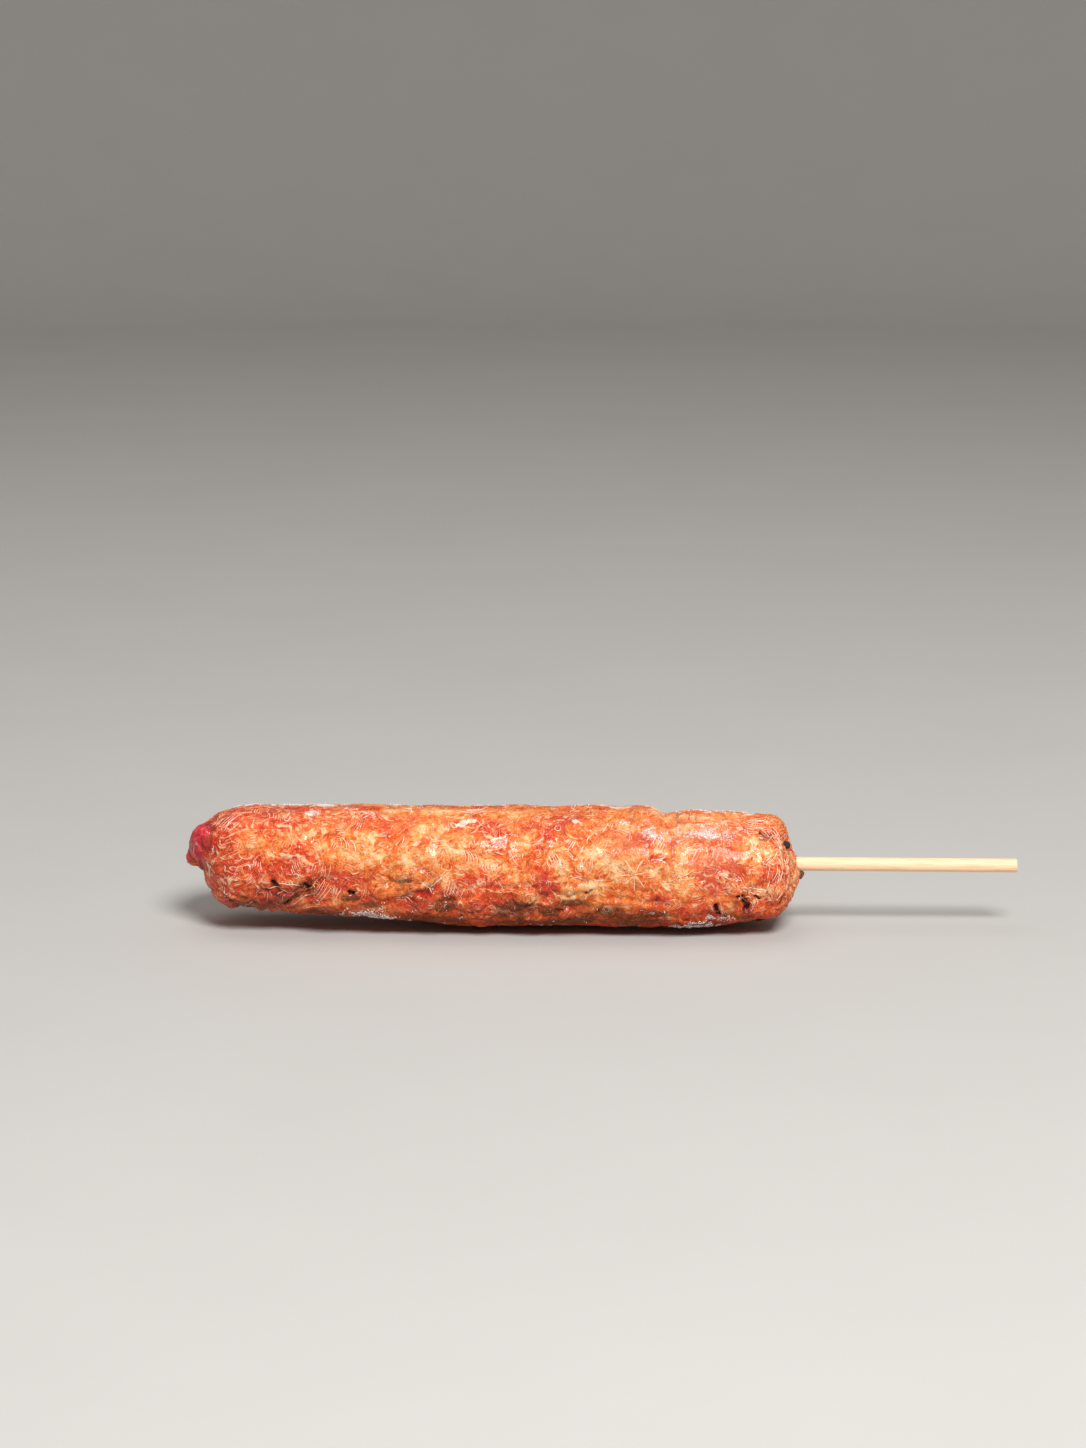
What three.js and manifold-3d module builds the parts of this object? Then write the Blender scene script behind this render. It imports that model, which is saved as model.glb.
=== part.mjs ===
// A raw kofta: spiced minced meat pressed round a bamboo stick and frozen, lying on its side.
//
// Millimetres, +Z up. X runs along the stick, from the kofta's closed tip at -X to the bare grip at +X.
// The shown side faces -Y. The origin is the middle of the footprint, on the surface it lies on.
//
// Places on the kofta are given as s, the distance from its tip along X, and turn, the angle round it
// in degrees: 0 faces the front (-Y), 90 the top, 180 the back and -90 the underside.
import * as THREE from 'three';
import { ImprovedNoise } from 'three/addons/math/ImprovedNoise.js';
import { mergeVertices } from 'three/addons/utils/BufferGeometryUtils.js';
import Module from 'manifold-3d';

const wasm = await Module();
wasm.setup();

// ---- Driving dimensions ----

const STICK_LENGTH = 200;
const STICK_DIAMETER = 3.5;
const STICK_CHAMFER = 0.35;
const STICK_TILT = THREE.MathUtils.degToRad(0.2); // its grip droops a little below level
const STICK_SIDES = 24;
const BORE_CLEARANCE = 0.3;

const GRIP_LENGTH = 54; // bare stick outside the meat
const EXIT_HEIGHT = 16.3; // the stick's axis where it leaves the meat

const KOFTA_LENGTH = 153.5;
const KOFTA_HEIGHT = 30.2;
const KOFTA_WIDTH = 31;
const KOFTA_SIDES = 60;
const SECTION_SQUARENESS = 2.3; // 2 is an ellipse, more is squarer

// Each end closes over its length to a pole at its own height, since neither end is level.
const TIP_END = { length: 13, roundness: 1.6, pole: 18.6, stations: 10 }; // a blunt uneven cone
const EXIT_END = { length: 6.5, roundness: 1.5, pole: 13.4, stations: 8 }; // a flatter dome
const STATION_STEP = 2.6;

const TIP_TAPER = { reach: 60, width: 3.2 }; // the kofta narrows over its first stretch
const TIP_LIFT = { height: 7.5, reach: 73, power: 1.6 }; // and its underside rises off the surface
const EXIT_LIFT = { height: 3, reach: 25.5, power: 1.3 };
const SHOULDER = { start: 115, end: 121, drop: 1.7 }; // a step down in the top, near the exit
const EXIT_TAPER = { start: 121, height: 1.4, width: 3.4 };

const SAG = 0.7; // how deep the soft underside is pressed flat where it lies

const KOFTA_COLOUR = 0xe8794f;
const STICK_COLOUR = 0xf0dcae;

const TIP_X = -(KOFTA_LENGTH + GRIP_LENGTH) / 2;
const EXIT_X = TIP_X + KOFTA_LENGTH;
const STICK_RADIUS = STICK_DIAMETER / 2;
const MEAN_RADIUS = (KOFTA_HEIGHT + KOFTA_WIDTH) / 4;

// ---- Relief: each lump, pleat, groove and lobe moves the skin out or in, in millimetres ----

// Noise of two grain sizes: soft lumps of mince, and smaller ones on them.
const LUMPS = [
  { size: 13, height: 0.8 },
  { size: 5.5, height: 0.5 },
];

// Pleats where the meat is gathered: round the closed tip, and round the stick.
const PLEATS = {
  tip: { count: 9, depth: 0.9, near: 2.5, far: 20, swirl: 0.9 },
  exit: { count: 12, depth: 0.7, near: 0.8, far: 13, swirl: -1.3 },
};

// Grooves and pits pressed into the skin, each along the places that it joins.
const GROOVES = [
  { path: [[117, 118], [120, 80], [122.5, 52]], width: 2.0, depth: 1.3 }, // the shoulder's notch
  { path: [[26, -40], [29, -28], [32, -19], [35.5, -1]], width: 1.7, depth: 1.7 }, // by the flap
  { path: [[28.5, -42], [33, -36]], width: 1.5, depth: 1.0 },
  { path: [[21.5, -21], [23.5, -20]], width: 1.5, depth: 2.0 }, // an air pocket
  { path: [[30, -22], [32.5, -20]], width: 1.4, depth: 1.4 },
  { path: [[53.5, -23], [61, -17], [67, -5]], width: 1.6, depth: 1.0 }, // the wet red crease
  { path: [[82, -25], [86, -20], [90, -12]], width: 1.6, depth: 0.8 },
  { path: [[92, -5], [95, -16]], width: 2.0, depth: 0.8 },
  { path: [[132, -27], [133.5, -38]], width: 1.3, depth: 1.3 }, // slits near the stick
  { path: [[138.3, -16], [140, -24]], width: 1.3, depth: 1.5 },
  { path: [[139.5, -9], [143.5, -16]], width: 1.4, depth: 1.5 },
  { path: [[3, -50], [4.5, -15], [6, 4]], width: 2.0, depth: 1.5 }, // the open fold at the tip
  { path: [[58, 150], [64, 175], [70, 196]], width: 2.0, depth: 1.1 }, // on the back
  { path: [[104, 172], [112, 214]], width: 1.9, depth: 1.2 },
  { path: [[22, 160], [30, 186]], width: 1.9, depth: 1.0 },
];

// Rounded lobes that stand out of the skin.
const LOBES = [
  { at: [4.5, 48], size: 4.0, height: 1.5 }, // raw red meat at the tip
  { at: [0.5, -60], size: 2.0, height: 0.9 },
  { at: [37, -34], size: 4.2, height: 0.7 }, // the flap's own bulge
  { at: [63, 2], size: 4.5, height: 0.5 },
  { at: [87, -27], size: 3.0, height: 0.6 },
  { at: [73, -46], size: 5.5, height: 0.4 },
  { at: [149, -62], size: 3.0, height: 0.8 }, // the low corner beside the stick
  { at: [46, 200], size: 6, height: 0.7 },
  { at: [88, 168], size: 6, height: 0.6 },
  { at: [127, 205], size: 5.5, height: 0.7 },
];

const noise = new ImprovedNoise();

// ---- The kofta's form ----

// The share of the full girth at s: 1 along the body, rounded down to 0 at both ends.
function endShare(s) {
  return [[s, TIP_END], [KOFTA_LENGTH - s, EXIT_END]].reduce((share, [distance, end]) => {
    const gone = Math.max(0, 1 - distance / end.length);
    return share * Math.max(0, 1 - gone ** end.roundness) ** (1 / end.roundness);
  }, 1);
}

// The share of a lift at a place that far into its reach, from 0 where it starts to 1 at the end.
function liftAt(distance, { height, reach, power }) {
  return height * Math.max(0, distance / reach) ** power;
}

function sectionAt(s) {
  const { smoothstep } = THREE.MathUtils;
  const toExit = smoothstep(s, EXIT_TAPER.start, KOFTA_LENGTH);
  const top =
    KOFTA_HEIGHT -
    SHOULDER.drop * smoothstep(s, SHOULDER.start, SHOULDER.end) -
    EXIT_TAPER.height * toExit;
  const bottom =
    liftAt(TIP_LIFT.reach - s, TIP_LIFT) +
    liftAt(s - KOFTA_LENGTH + EXIT_LIFT.reach, EXIT_LIFT) -
    SAG;
  const width =
    KOFTA_WIDTH -
    TIP_TAPER.width * (1 - smoothstep(s, 0, TIP_TAPER.reach)) -
    EXIT_TAPER.width * toExit;
  return {
    middle: (top + bottom) / 2,
    halfHeight: (top - bottom) / 2,
    halfWidth: width / 2,
  };
}

// A squared ellipse's coordinate for a sine or cosine.
function squared(ratio) {
  return Math.sign(ratio) * Math.abs(ratio) ** (2 / SECTION_SQUARENESS);
}

// Where the smooth form lies at s and turn, before the relief.
function formPoint(s, turn) {
  const angle = THREE.MathUtils.degToRad(turn);
  const share = endShare(s);
  const { middle, halfHeight, halfWidth } = sectionAt(s);
  const pole = s < KOFTA_LENGTH / 2 ? TIP_END.pole : EXIT_END.pole;
  return new THREE.Vector3(
    TIP_X + s,
    -halfWidth * share * squared(Math.cos(angle)),
    THREE.MathUtils.lerp(pole, middle, share) + halfHeight * share * squared(Math.sin(angle)),
  );
}

function lumps(point) {
  return LUMPS.reduce((sum, { size, height }) => {
    const { x, y, z } = point.clone().divideScalar(size);
    return sum + height * noise.noise(x, y, z);
  }, 0);
}

// A gather's pleats reach neither its middle nor the meat beyond its far distance.
function pleats(turn, distance, { count, depth, near, far, swirl }) {
  const { smoothstep, degToRad } = THREE.MathUtils;
  const reach = smoothstep(distance, 0, near) * (1 - smoothstep(distance, near, far));
  const angle = degToRad(turn);
  const wander = 1.6 * Math.sin(2 * angle + 1) + (swirl * distance) / 5;
  return -depth * reach * (0.5 + 0.5 * Math.cos(count * angle + wander));
}

// A soft hump's height at that gap from its middle.
function hump(gap, size) {
  return Math.exp(-((gap / size) ** 2));
}

// Each groove's straight stretches from place to place, laid on the form in short steps.
const STEPS_PER_STRETCH = 6;
const grooveTraces = GROOVES.map(({ path, ...groove }) => {
  const stretches = path.slice(1).map((to, i) => [path[i], to]);
  const points = stretches.flatMap(([from, to]) =>
    Array.from({ length: STEPS_PER_STRETCH + 1 }, (_, step) => {
      const along = step / STEPS_PER_STRETCH;
      return formPoint(...from.map((value, axis) => THREE.MathUtils.lerp(value, to[axis], along)));
    }),
  );
  return { points, ...groove };
});
const lobeMiddles = LOBES.map(({ at, ...lobe }) => ({ middle: formPoint(...at), ...lobe }));

function grooves(point) {
  return grooveTraces.reduce((sum, { points, width, depth }) => {
    const gap = Math.min(...points.map((place) => place.distanceTo(point)));
    return sum - depth * hump(gap, width);
  }, 0);
}

function lobes(point) {
  return lobeMiddles.reduce(
    (sum, { middle, size, height }) => sum + height * hump(middle.distanceTo(point), size),
    0,
  );
}

// Where the skin lies at s and turn. The relief leans from the radius at the girth to X at a pole.
function skinPoint(s, turn) {
  const angle = THREE.MathUtils.degToRad(turn);
  const share = endShare(s);
  const point = formPoint(s, turn);
  const relief =
    lumps(point) +
    grooves(point) +
    lobes(point) +
    pleats(turn, s, PLEATS.tip) +
    pleats(turn, KOFTA_LENGTH - s, PLEATS.exit);
  const outwards = new THREE.Vector3(
    Math.sign(s - KOFTA_LENGTH / 2) * (1 - share),
    -share * Math.cos(angle),
    share * Math.sin(angle),
  ).normalize();
  const flatTop = KOFTA_HEIGHT + lumps(point) / 3;
  point.addScaledVector(outwards, relief);
  point.z = Math.min(point.z, flatTop);
  return point;
}

// Stations along s: close together on both rounded ends, then even along the body.
function stations() {
  const bodyLength = KOFTA_LENGTH - TIP_END.length - EXIT_END.length;
  const steps = Math.round(bodyLength / STATION_STEP);
  const ramp = (end) =>
    Array.from({ length: end.stations }, (_, i) => end.length * (i / end.stations) ** 2);
  const body = Array.from(
    { length: steps + 1 },
    (_, i) => TIP_END.length + (bodyLength * i) / steps,
  );
  const exit = ramp(EXIT_END).map((distance) => KOFTA_LENGTH - distance);
  return [...ramp(TIP_END), ...body, ...exit.reverse()];
}

// A turned blank whose points are then moved out to the skin.
function koftaBlank() {
  const outline = stations().map((s) => new THREE.Vector2(endShare(s), s));
  const blank = new THREE.LatheGeometry(outline, KOFTA_SIDES);
  const position = blank.getAttribute('position');
  const corner = new THREE.Vector3();
  for (let i = 0; i < position.count; i += 1) {
    corner.fromBufferAttribute(position, i);
    const turn = THREE.MathUtils.radToDeg(Math.atan2(corner.z, corner.x));
    const skin = skinPoint(corner.y, turn);
    position.setXYZ(i, ...skin);
  }
  return blank;
}

// ---- Solids ----

function toSolid(geometry) {
  const bare = geometry.clone();
  bare.deleteAttribute('normal');
  bare.deleteAttribute('uv');
  const merged = mergeVertices(bare, 1e-4);
  return new wasm.Manifold(
    new wasm.Mesh({
      numProp: 3,
      vertProperties: merged.attributes.position.array,
      triVerts: new Uint32Array(merged.index.array),
    }),
  );
}

function toGeometry(solid) {
  const { vertProperties, triVerts } = solid.getMesh();
  const geometry = new THREE.BufferGeometry();
  geometry.setAttribute('position', new THREE.BufferAttribute(vertProperties, 3));
  geometry.setIndex(new THREE.BufferAttribute(triVerts, 1));
  geometry.computeVertexNormals();
  return geometry;
}

// A rod along X with broken edges, from x = 0 to x = length.
function rodGeometry(radius, length, chamfer) {
  const outline = [
    [0, 0],
    [radius - chamfer, 0],
    [radius, chamfer],
    [radius, length - chamfer],
    [radius - chamfer, length],
    [0, length],
  ].map(([r, along]) => new THREE.Vector2(r, along));
  return new THREE.LatheGeometry(outline, STICK_SIDES).rotateZ(-Math.PI / 2);
}

// The stick's frame: its hidden end in the meat is the start, and it tilts about its exit.
const stickAxis = new THREE.Object3D();
const hiddenLength = STICK_LENGTH - GRIP_LENGTH;
stickAxis.position.set(
  EXIT_X - hiddenLength * Math.cos(STICK_TILT),
  0,
  EXIT_HEIGHT + hiddenLength * Math.sin(STICK_TILT),
);
stickAxis.rotation.y = STICK_TILT;
stickAxis.updateMatrix();

function boreGeometry() {
  const reach = STICK_LENGTH + 2 * BORE_CLEARANCE;
  const rod = rodGeometry(STICK_RADIUS + BORE_CLEARANCE, reach, STICK_CHAMFER);
  return rod.translate(-BORE_CLEARANCE, 0, 0).applyMatrix4(stickAxis.matrix);
}

// Everything above the surface that the kofta lies on.
function aboveSurface() {
  const size = 3 * KOFTA_LENGTH;
  return new THREE.BoxGeometry(size, size, size).translate(0, 0, size / 2);
}

function koftaMesh() {
  const formed = toSolid(koftaBlank());
  const rested = formed.intersect(toSolid(aboveSurface()));
  const skewered = rested.subtract(toSolid(boreGeometry()));
  const material = new THREE.MeshStandardMaterial({
    color: KOFTA_COLOUR,
    roughness: 0.5,
    metalness: 0,
  });
  const mesh = new THREE.Mesh(toGeometry(skewered), material);
  mesh.name = 'kofta';
  return mesh;
}

function stickMesh() {
  const material = new THREE.MeshStandardMaterial({
    color: STICK_COLOUR,
    roughness: 0.6,
    metalness: 0,
  });
  const mesh = new THREE.Mesh(rodGeometry(STICK_RADIUS, STICK_LENGTH, STICK_CHAMFER), material);
  mesh.name = 'stick';
  return mesh;
}

// ---- Assembly ----

stickAxis.add(stickMesh());
const skewer = new THREE.Group();
skewer.add(koftaMesh(), stickAxis);

// The meat is uneven, so the whole is centred over the origin by its own box.
const box = new THREE.Box3().setFromObject(skewer, true);
const centre = box.getCenter(new THREE.Vector3());
skewer.position.set(-centre.x, -centre.y, -box.min.z);

export default skewer;
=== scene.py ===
"""A raw frozen kofta on a bamboo stick: its meat, fat threads, frost, spices and stick, in a plain studio.

A place on the kofta is (along, turn): millimetres from its tip towards the grip, and degrees round it,
where 0 faces the shown side, 90 the top, 180 the back and -90 the surface that it lies on.
"""

import itertools
import math
import random

import bpy
import numpy as np
from bpy.props import FloatProperty, FloatVectorProperty, IntProperty, PointerProperty
from mathutils import Matrix, Vector, noise
from mathutils.bvhtree import BVHTree


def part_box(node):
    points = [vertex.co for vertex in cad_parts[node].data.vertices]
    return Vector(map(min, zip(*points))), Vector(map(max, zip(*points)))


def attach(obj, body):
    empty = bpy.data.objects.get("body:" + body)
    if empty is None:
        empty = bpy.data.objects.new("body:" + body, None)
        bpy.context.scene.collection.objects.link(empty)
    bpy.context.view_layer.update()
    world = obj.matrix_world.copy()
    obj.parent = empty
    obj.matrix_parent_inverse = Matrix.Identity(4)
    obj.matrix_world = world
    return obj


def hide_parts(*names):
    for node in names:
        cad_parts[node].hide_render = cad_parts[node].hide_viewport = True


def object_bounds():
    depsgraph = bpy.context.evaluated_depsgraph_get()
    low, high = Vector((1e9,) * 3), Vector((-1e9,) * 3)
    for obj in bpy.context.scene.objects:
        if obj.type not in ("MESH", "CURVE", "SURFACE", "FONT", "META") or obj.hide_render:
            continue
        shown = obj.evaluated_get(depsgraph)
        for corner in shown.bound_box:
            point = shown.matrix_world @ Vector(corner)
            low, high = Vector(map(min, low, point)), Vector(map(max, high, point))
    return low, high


bl_info = {
    "name": "Kofta Skewer",
    "version": (1, 0, 0),
    "blender": (4, 5, 0),
    "location": "3D View > Sidebar > Kofta",
    "description": "Makes the finished kofta skewer round its construction model",
    "category": "Object",
}

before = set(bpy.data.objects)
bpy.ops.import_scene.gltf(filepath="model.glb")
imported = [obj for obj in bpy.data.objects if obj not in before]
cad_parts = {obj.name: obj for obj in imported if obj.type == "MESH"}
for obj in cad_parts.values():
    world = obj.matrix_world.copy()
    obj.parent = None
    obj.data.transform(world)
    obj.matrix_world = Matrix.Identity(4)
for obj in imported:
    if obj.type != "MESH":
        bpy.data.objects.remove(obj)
CAD_BOX = [list(corner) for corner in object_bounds()]
MEAT_LOW, MEAT_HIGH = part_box("kofta")
STICK_LOW, STICK_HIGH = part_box("stick")

MM = 0.001
MEAT_LENGTH = (MEAT_HIGH.x - MEAT_LOW.x) / MM
MEAT_HEIGHT = (MEAT_HIGH.z - MEAT_LOW.z) / MM
MEAT_RADIUS = MEAT_HEIGHT / 2
AXIS_HEIGHT = (MEAT_LOW.z + MEAT_HIGH.z) / 2
STICK_TILT = math.atan2(
    (STICK_HIGH.z - STICK_LOW.z) - (STICK_HIGH.y - STICK_LOW.y), STICK_HIGH.x - STICK_LOW.x
)
STICK_RADIUS = (STICK_HIGH.y - STICK_LOW.y) / 2
STICK_MIDDLE = (STICK_LOW + STICK_HIGH) / 2
STICK_LENGTH = (STICK_HIGH.x - STICK_LOW.x) / math.cos(STICK_TILT)


def paint_colour(code):
    """A linear colour from a hexadecimal display colour such as F7A06E."""
    shares = [int(code[i : i + 2], 16) / 255 for i in (0, 2, 4)]
    return [c / 12.92 if c <= 0.04045 else ((c + 0.055) / 1.055) ** 2.4 for c in shares]


def colour_property(name, description, code):
    return FloatVectorProperty(
        name=name, description=description, subtype="COLOR", size=3, min=0, max=1, default=paint_colour(code)
    )


def length_property(name, description, millimetres):
    return FloatProperty(
        name=name, description=description, subtype="DISTANCE", unit="LENGTH", min=0, default=millimetres * MM
    )


# ---- What a user would change ----


class KoftaMeatLooks(bpy.types.PropertyGroup):
    grain: length_property("Grain", "Edge length of the finished mesh", 0.445)
    lump_height: length_property("Lump height", "How far lumps stand out of the creases between them", 0.55)
    mince_height: length_property("Mince height", "How far single grains of mince stand out", 0.16)
    lean: colour_property("Lean", "Redder lean meat", "C03614")
    spiced: colour_property("Spiced", "Orange, where paprika shows", "E2501E")
    mixed: colour_property("Mixed", "The meat's usual colour", "EF762E")
    pale: colour_property("Pale", "Meat rich in fat", "F8A054")
    fat: colour_property("Fat", "Grains of fat", "FCCE98")
    white: colour_property("White", "Hard white bits of fat", "FFF1DC")
    raw: colour_property("Raw", "The raw lobe at the tip", "C6263F")
    # The meat's own brown patches, and painted shade near the underside.
    blood: colour_property("Wet", "Wet red spots", "DA2A12")
    brown_and_shade: colour_property("Browned", "Dull brown patches near the underside", "74401E")
    # Painted shade at the bottom of pits and slits.
    pit_shade: colour_property("Hollow", "The bottom of pits and slits", "260D0A")


class KoftaThreadLooks(bpy.types.PropertyGroup):
    most_faces: IntProperty(
        name="Most faces", description="Triangles to spend on threads", min=0, default=190000
    )
    width: length_property("Width", "Width of a usual fat thread", 0.27)
    pale: colour_property("Pale", "The whitest threads", "FFF2DE")
    deep: colour_property("Deep", "Threads that are nearly as red as the meat", "E8743C")


class KoftaFrostLooks(bpy.types.PropertyGroup):
    size: length_property("Size", "Length of a usual ice crystal", 0.3)
    colour: colour_property("Ice", "Colour of the ice", "FAF4F0")


class KoftaStickLooks(bpy.types.PropertyGroup):
    colour: colour_property("Bamboo", "The stick's usual colour", "FED5AF")
    fibre: colour_property("Fibre", "Darker fibres and specks", "DDB06E")


class KoftaStudioLooks(bpy.types.PropertyGroup):
    elevation: FloatProperty(
        name="Elevation",
        description="The camera's height above level",
        subtype="ANGLE",
        default=math.radians(15),
    )
    distance: length_property("Distance", "From the camera to the kofta", 800)
    key_power: FloatProperty(name="Key", description="Power of the main light", subtype="POWER", default=19)
    fill_power: FloatProperty(
        name="Fill", description="Power of the overhead light", subtype="POWER", default=3
    )
    ambient: FloatProperty(name="Ambient", description="Brightness of the surroundings", min=0, default=0.3)
    floor: colour_property("Floor", "The pale floor", "BDBAB6")


# ---- Node expressions ----


class Link:
    """A number from a node's output. Python's operators on it add Math nodes."""

    def __init__(self, finish, socket):
        self.finish = finish
        self.socket = socket

    def math(self, operation, *values):
        return self.finish.node("ShaderNodeMath", {"operation": operation}, dict(enumerate(values)))

    def __add__(self, other):
        return self.math("ADD", self, other)

    def __sub__(self, other):
        return self.math("SUBTRACT", self, other)

    def __rsub__(self, other):
        return self.math("SUBTRACT", other, self)

    def __mul__(self, other):
        return self.math("MULTIPLY", self, other)

    __radd__ = __add__
    __rmul__ = __mul__

    def ridge(self, count):
        """Lines where this value passes each of count even levels: 1 on a line, 0 between two."""
        saw = self.math("FRACT", self * count)
        return 1 - self.math("ABSOLUTE", saw * 2 - 1)

    def clamped(self):
        return self.math("MINIMUM", self.math("MAXIMUM", self, 0.0), 1.0)


class Finish:
    """A material made of node expressions. Its place is the point on the piece, in millimetres."""

    def __init__(self, name):
        self.material = bpy.data.materials.new(name)
        self.material.use_nodes = True
        self.tree = self.material.node_tree
        self.tree.nodes.clear()
        self.seed = 0
        spot = self.node("ShaderNodeTexCoord", output="Object")
        self.place = self.vector("SCALE", {0: spot, "Scale": 1 / MM})

    def node(self, kind, settings=None, values=None, output=0, stops=()):
        """Adds a node: its settings and ramp stops first, then its sockets' values or links."""
        made = self.tree.nodes.new(kind)
        for name, value in (settings or {}).items():
            setattr(made, name, value)
        if stops:
            marks = made.color_ramp.elements
            marks.remove(marks[1])
            marks[0].position, marks[0].color = stops[0][0], (*stops[0][1], 1)
            for position, colour in stops[1:]:
                marks.new(position).color = (*colour, 1)
        for name, value in (values or {}).items():
            if isinstance(value, Link):
                self.tree.links.new(value.socket, made.inputs[name])
            else:
                made.inputs[name].default_value = value
        return Link(self, made.outputs[output])

    def vector(self, operation, values):
        return self.node("ShaderNodeVectorMath", {"operation": operation}, values)

    def moved_place(self, place=None):
        """The place shifted far away, so that each pattern is a new one."""
        self.seed += 1
        shift = (self.seed * 37.1, self.seed * 11.3, self.seed * -23.7)
        return self.vector("ADD", {0: place or self.place, 1: shift})

    def noise(self, size, detail=2.0, roughness=0.5, distortion=0.0, place=None):
        values = {
            "Vector": self.moved_place(place),
            "Scale": 1 / size,
            "Detail": detail,
            "Roughness": roughness,
            "Distortion": distortion,
        }
        return self.node("ShaderNodeTexNoise", None, values)

    def warped(self, size, reach):
        """The place pushed about by up to about reach, in swirls of that size."""
        values = {"Vector": self.moved_place(), "Scale": 1 / size, "Detail": 2.0}
        swirl = self.node("ShaderNodeTexNoise", None, values, output="Color")
        centred = self.vector("SUBTRACT", {0: swirl, 1: (0.5, 0.5, 0.5)})
        return self.vector("ADD", {0: self.place, 1: self.vector("SCALE", {0: centred, "Scale": reach * 2})})

    def streaks(self, swirl_size, count, detail=2.0):
        """Fine uneven streaks that follow swirls of that size, drawn out along them."""
        swirl = self.noise(swirl_size, 1.0, 0.5, 0.6)
        shift = self.node("ShaderNodeCombineXYZ", None, {"X": swirl * count})
        drawn = self.vector("SCALE", {0: self.place, "Scale": 0.3})
        return self.noise(1, detail, 0.6, place=self.vector("ADD", {0: drawn, 1: shift}))

    def attribute(self, name):
        return self.node("ShaderNodeAttribute", {"attribute_name": name}, output="Fac")

    def step(self, value, low, high):
        """0 below low, 1 above high, smooth between them. It falls instead where low is the larger."""
        values = {"Value": value, "From Min": low, "From Max": high}
        return self.node("ShaderNodeMapRange", {"interpolation_type": "SMOOTHSTEP"}, values)

    def ramp(self, value, stops):
        return self.node("ShaderNodeValToRGB", None, {"Fac": value}, stops=stops)

    def mix(self, share, one, other):
        """Each colour is a link, a linear colour or a hexadecimal code."""
        ends = [paint_colour(value) if isinstance(value, str) else value for value in (one, other)]
        ends = [value if isinstance(value, Link) else (*value, 1) for value in ends]
        return self.node("ShaderNodeMix", {"data_type": "RGBA"}, {0: share, 6: ends[0], 7: ends[1]}, output=2)

    def bump(self, height):
        """A normal from a height in millimetres."""
        return self.node("ShaderNodeBump", None, {"Height": height, "Distance": MM, "Strength": 1.0})

    def surface(self, **values):
        """Ends the material in a Principled surface, its sockets named with _ for a space."""
        named = {name.replace("_", " "): value for name, value in values.items()}
        shader = self.node("ShaderNodeBsdfPrincipled", None, named, output="BSDF")
        output = self.tree.nodes.new("ShaderNodeOutputMaterial")
        self.tree.links.new(shader.socket, output.inputs["Surface"])
        return self.material


# ---- Finishes ----


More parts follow.
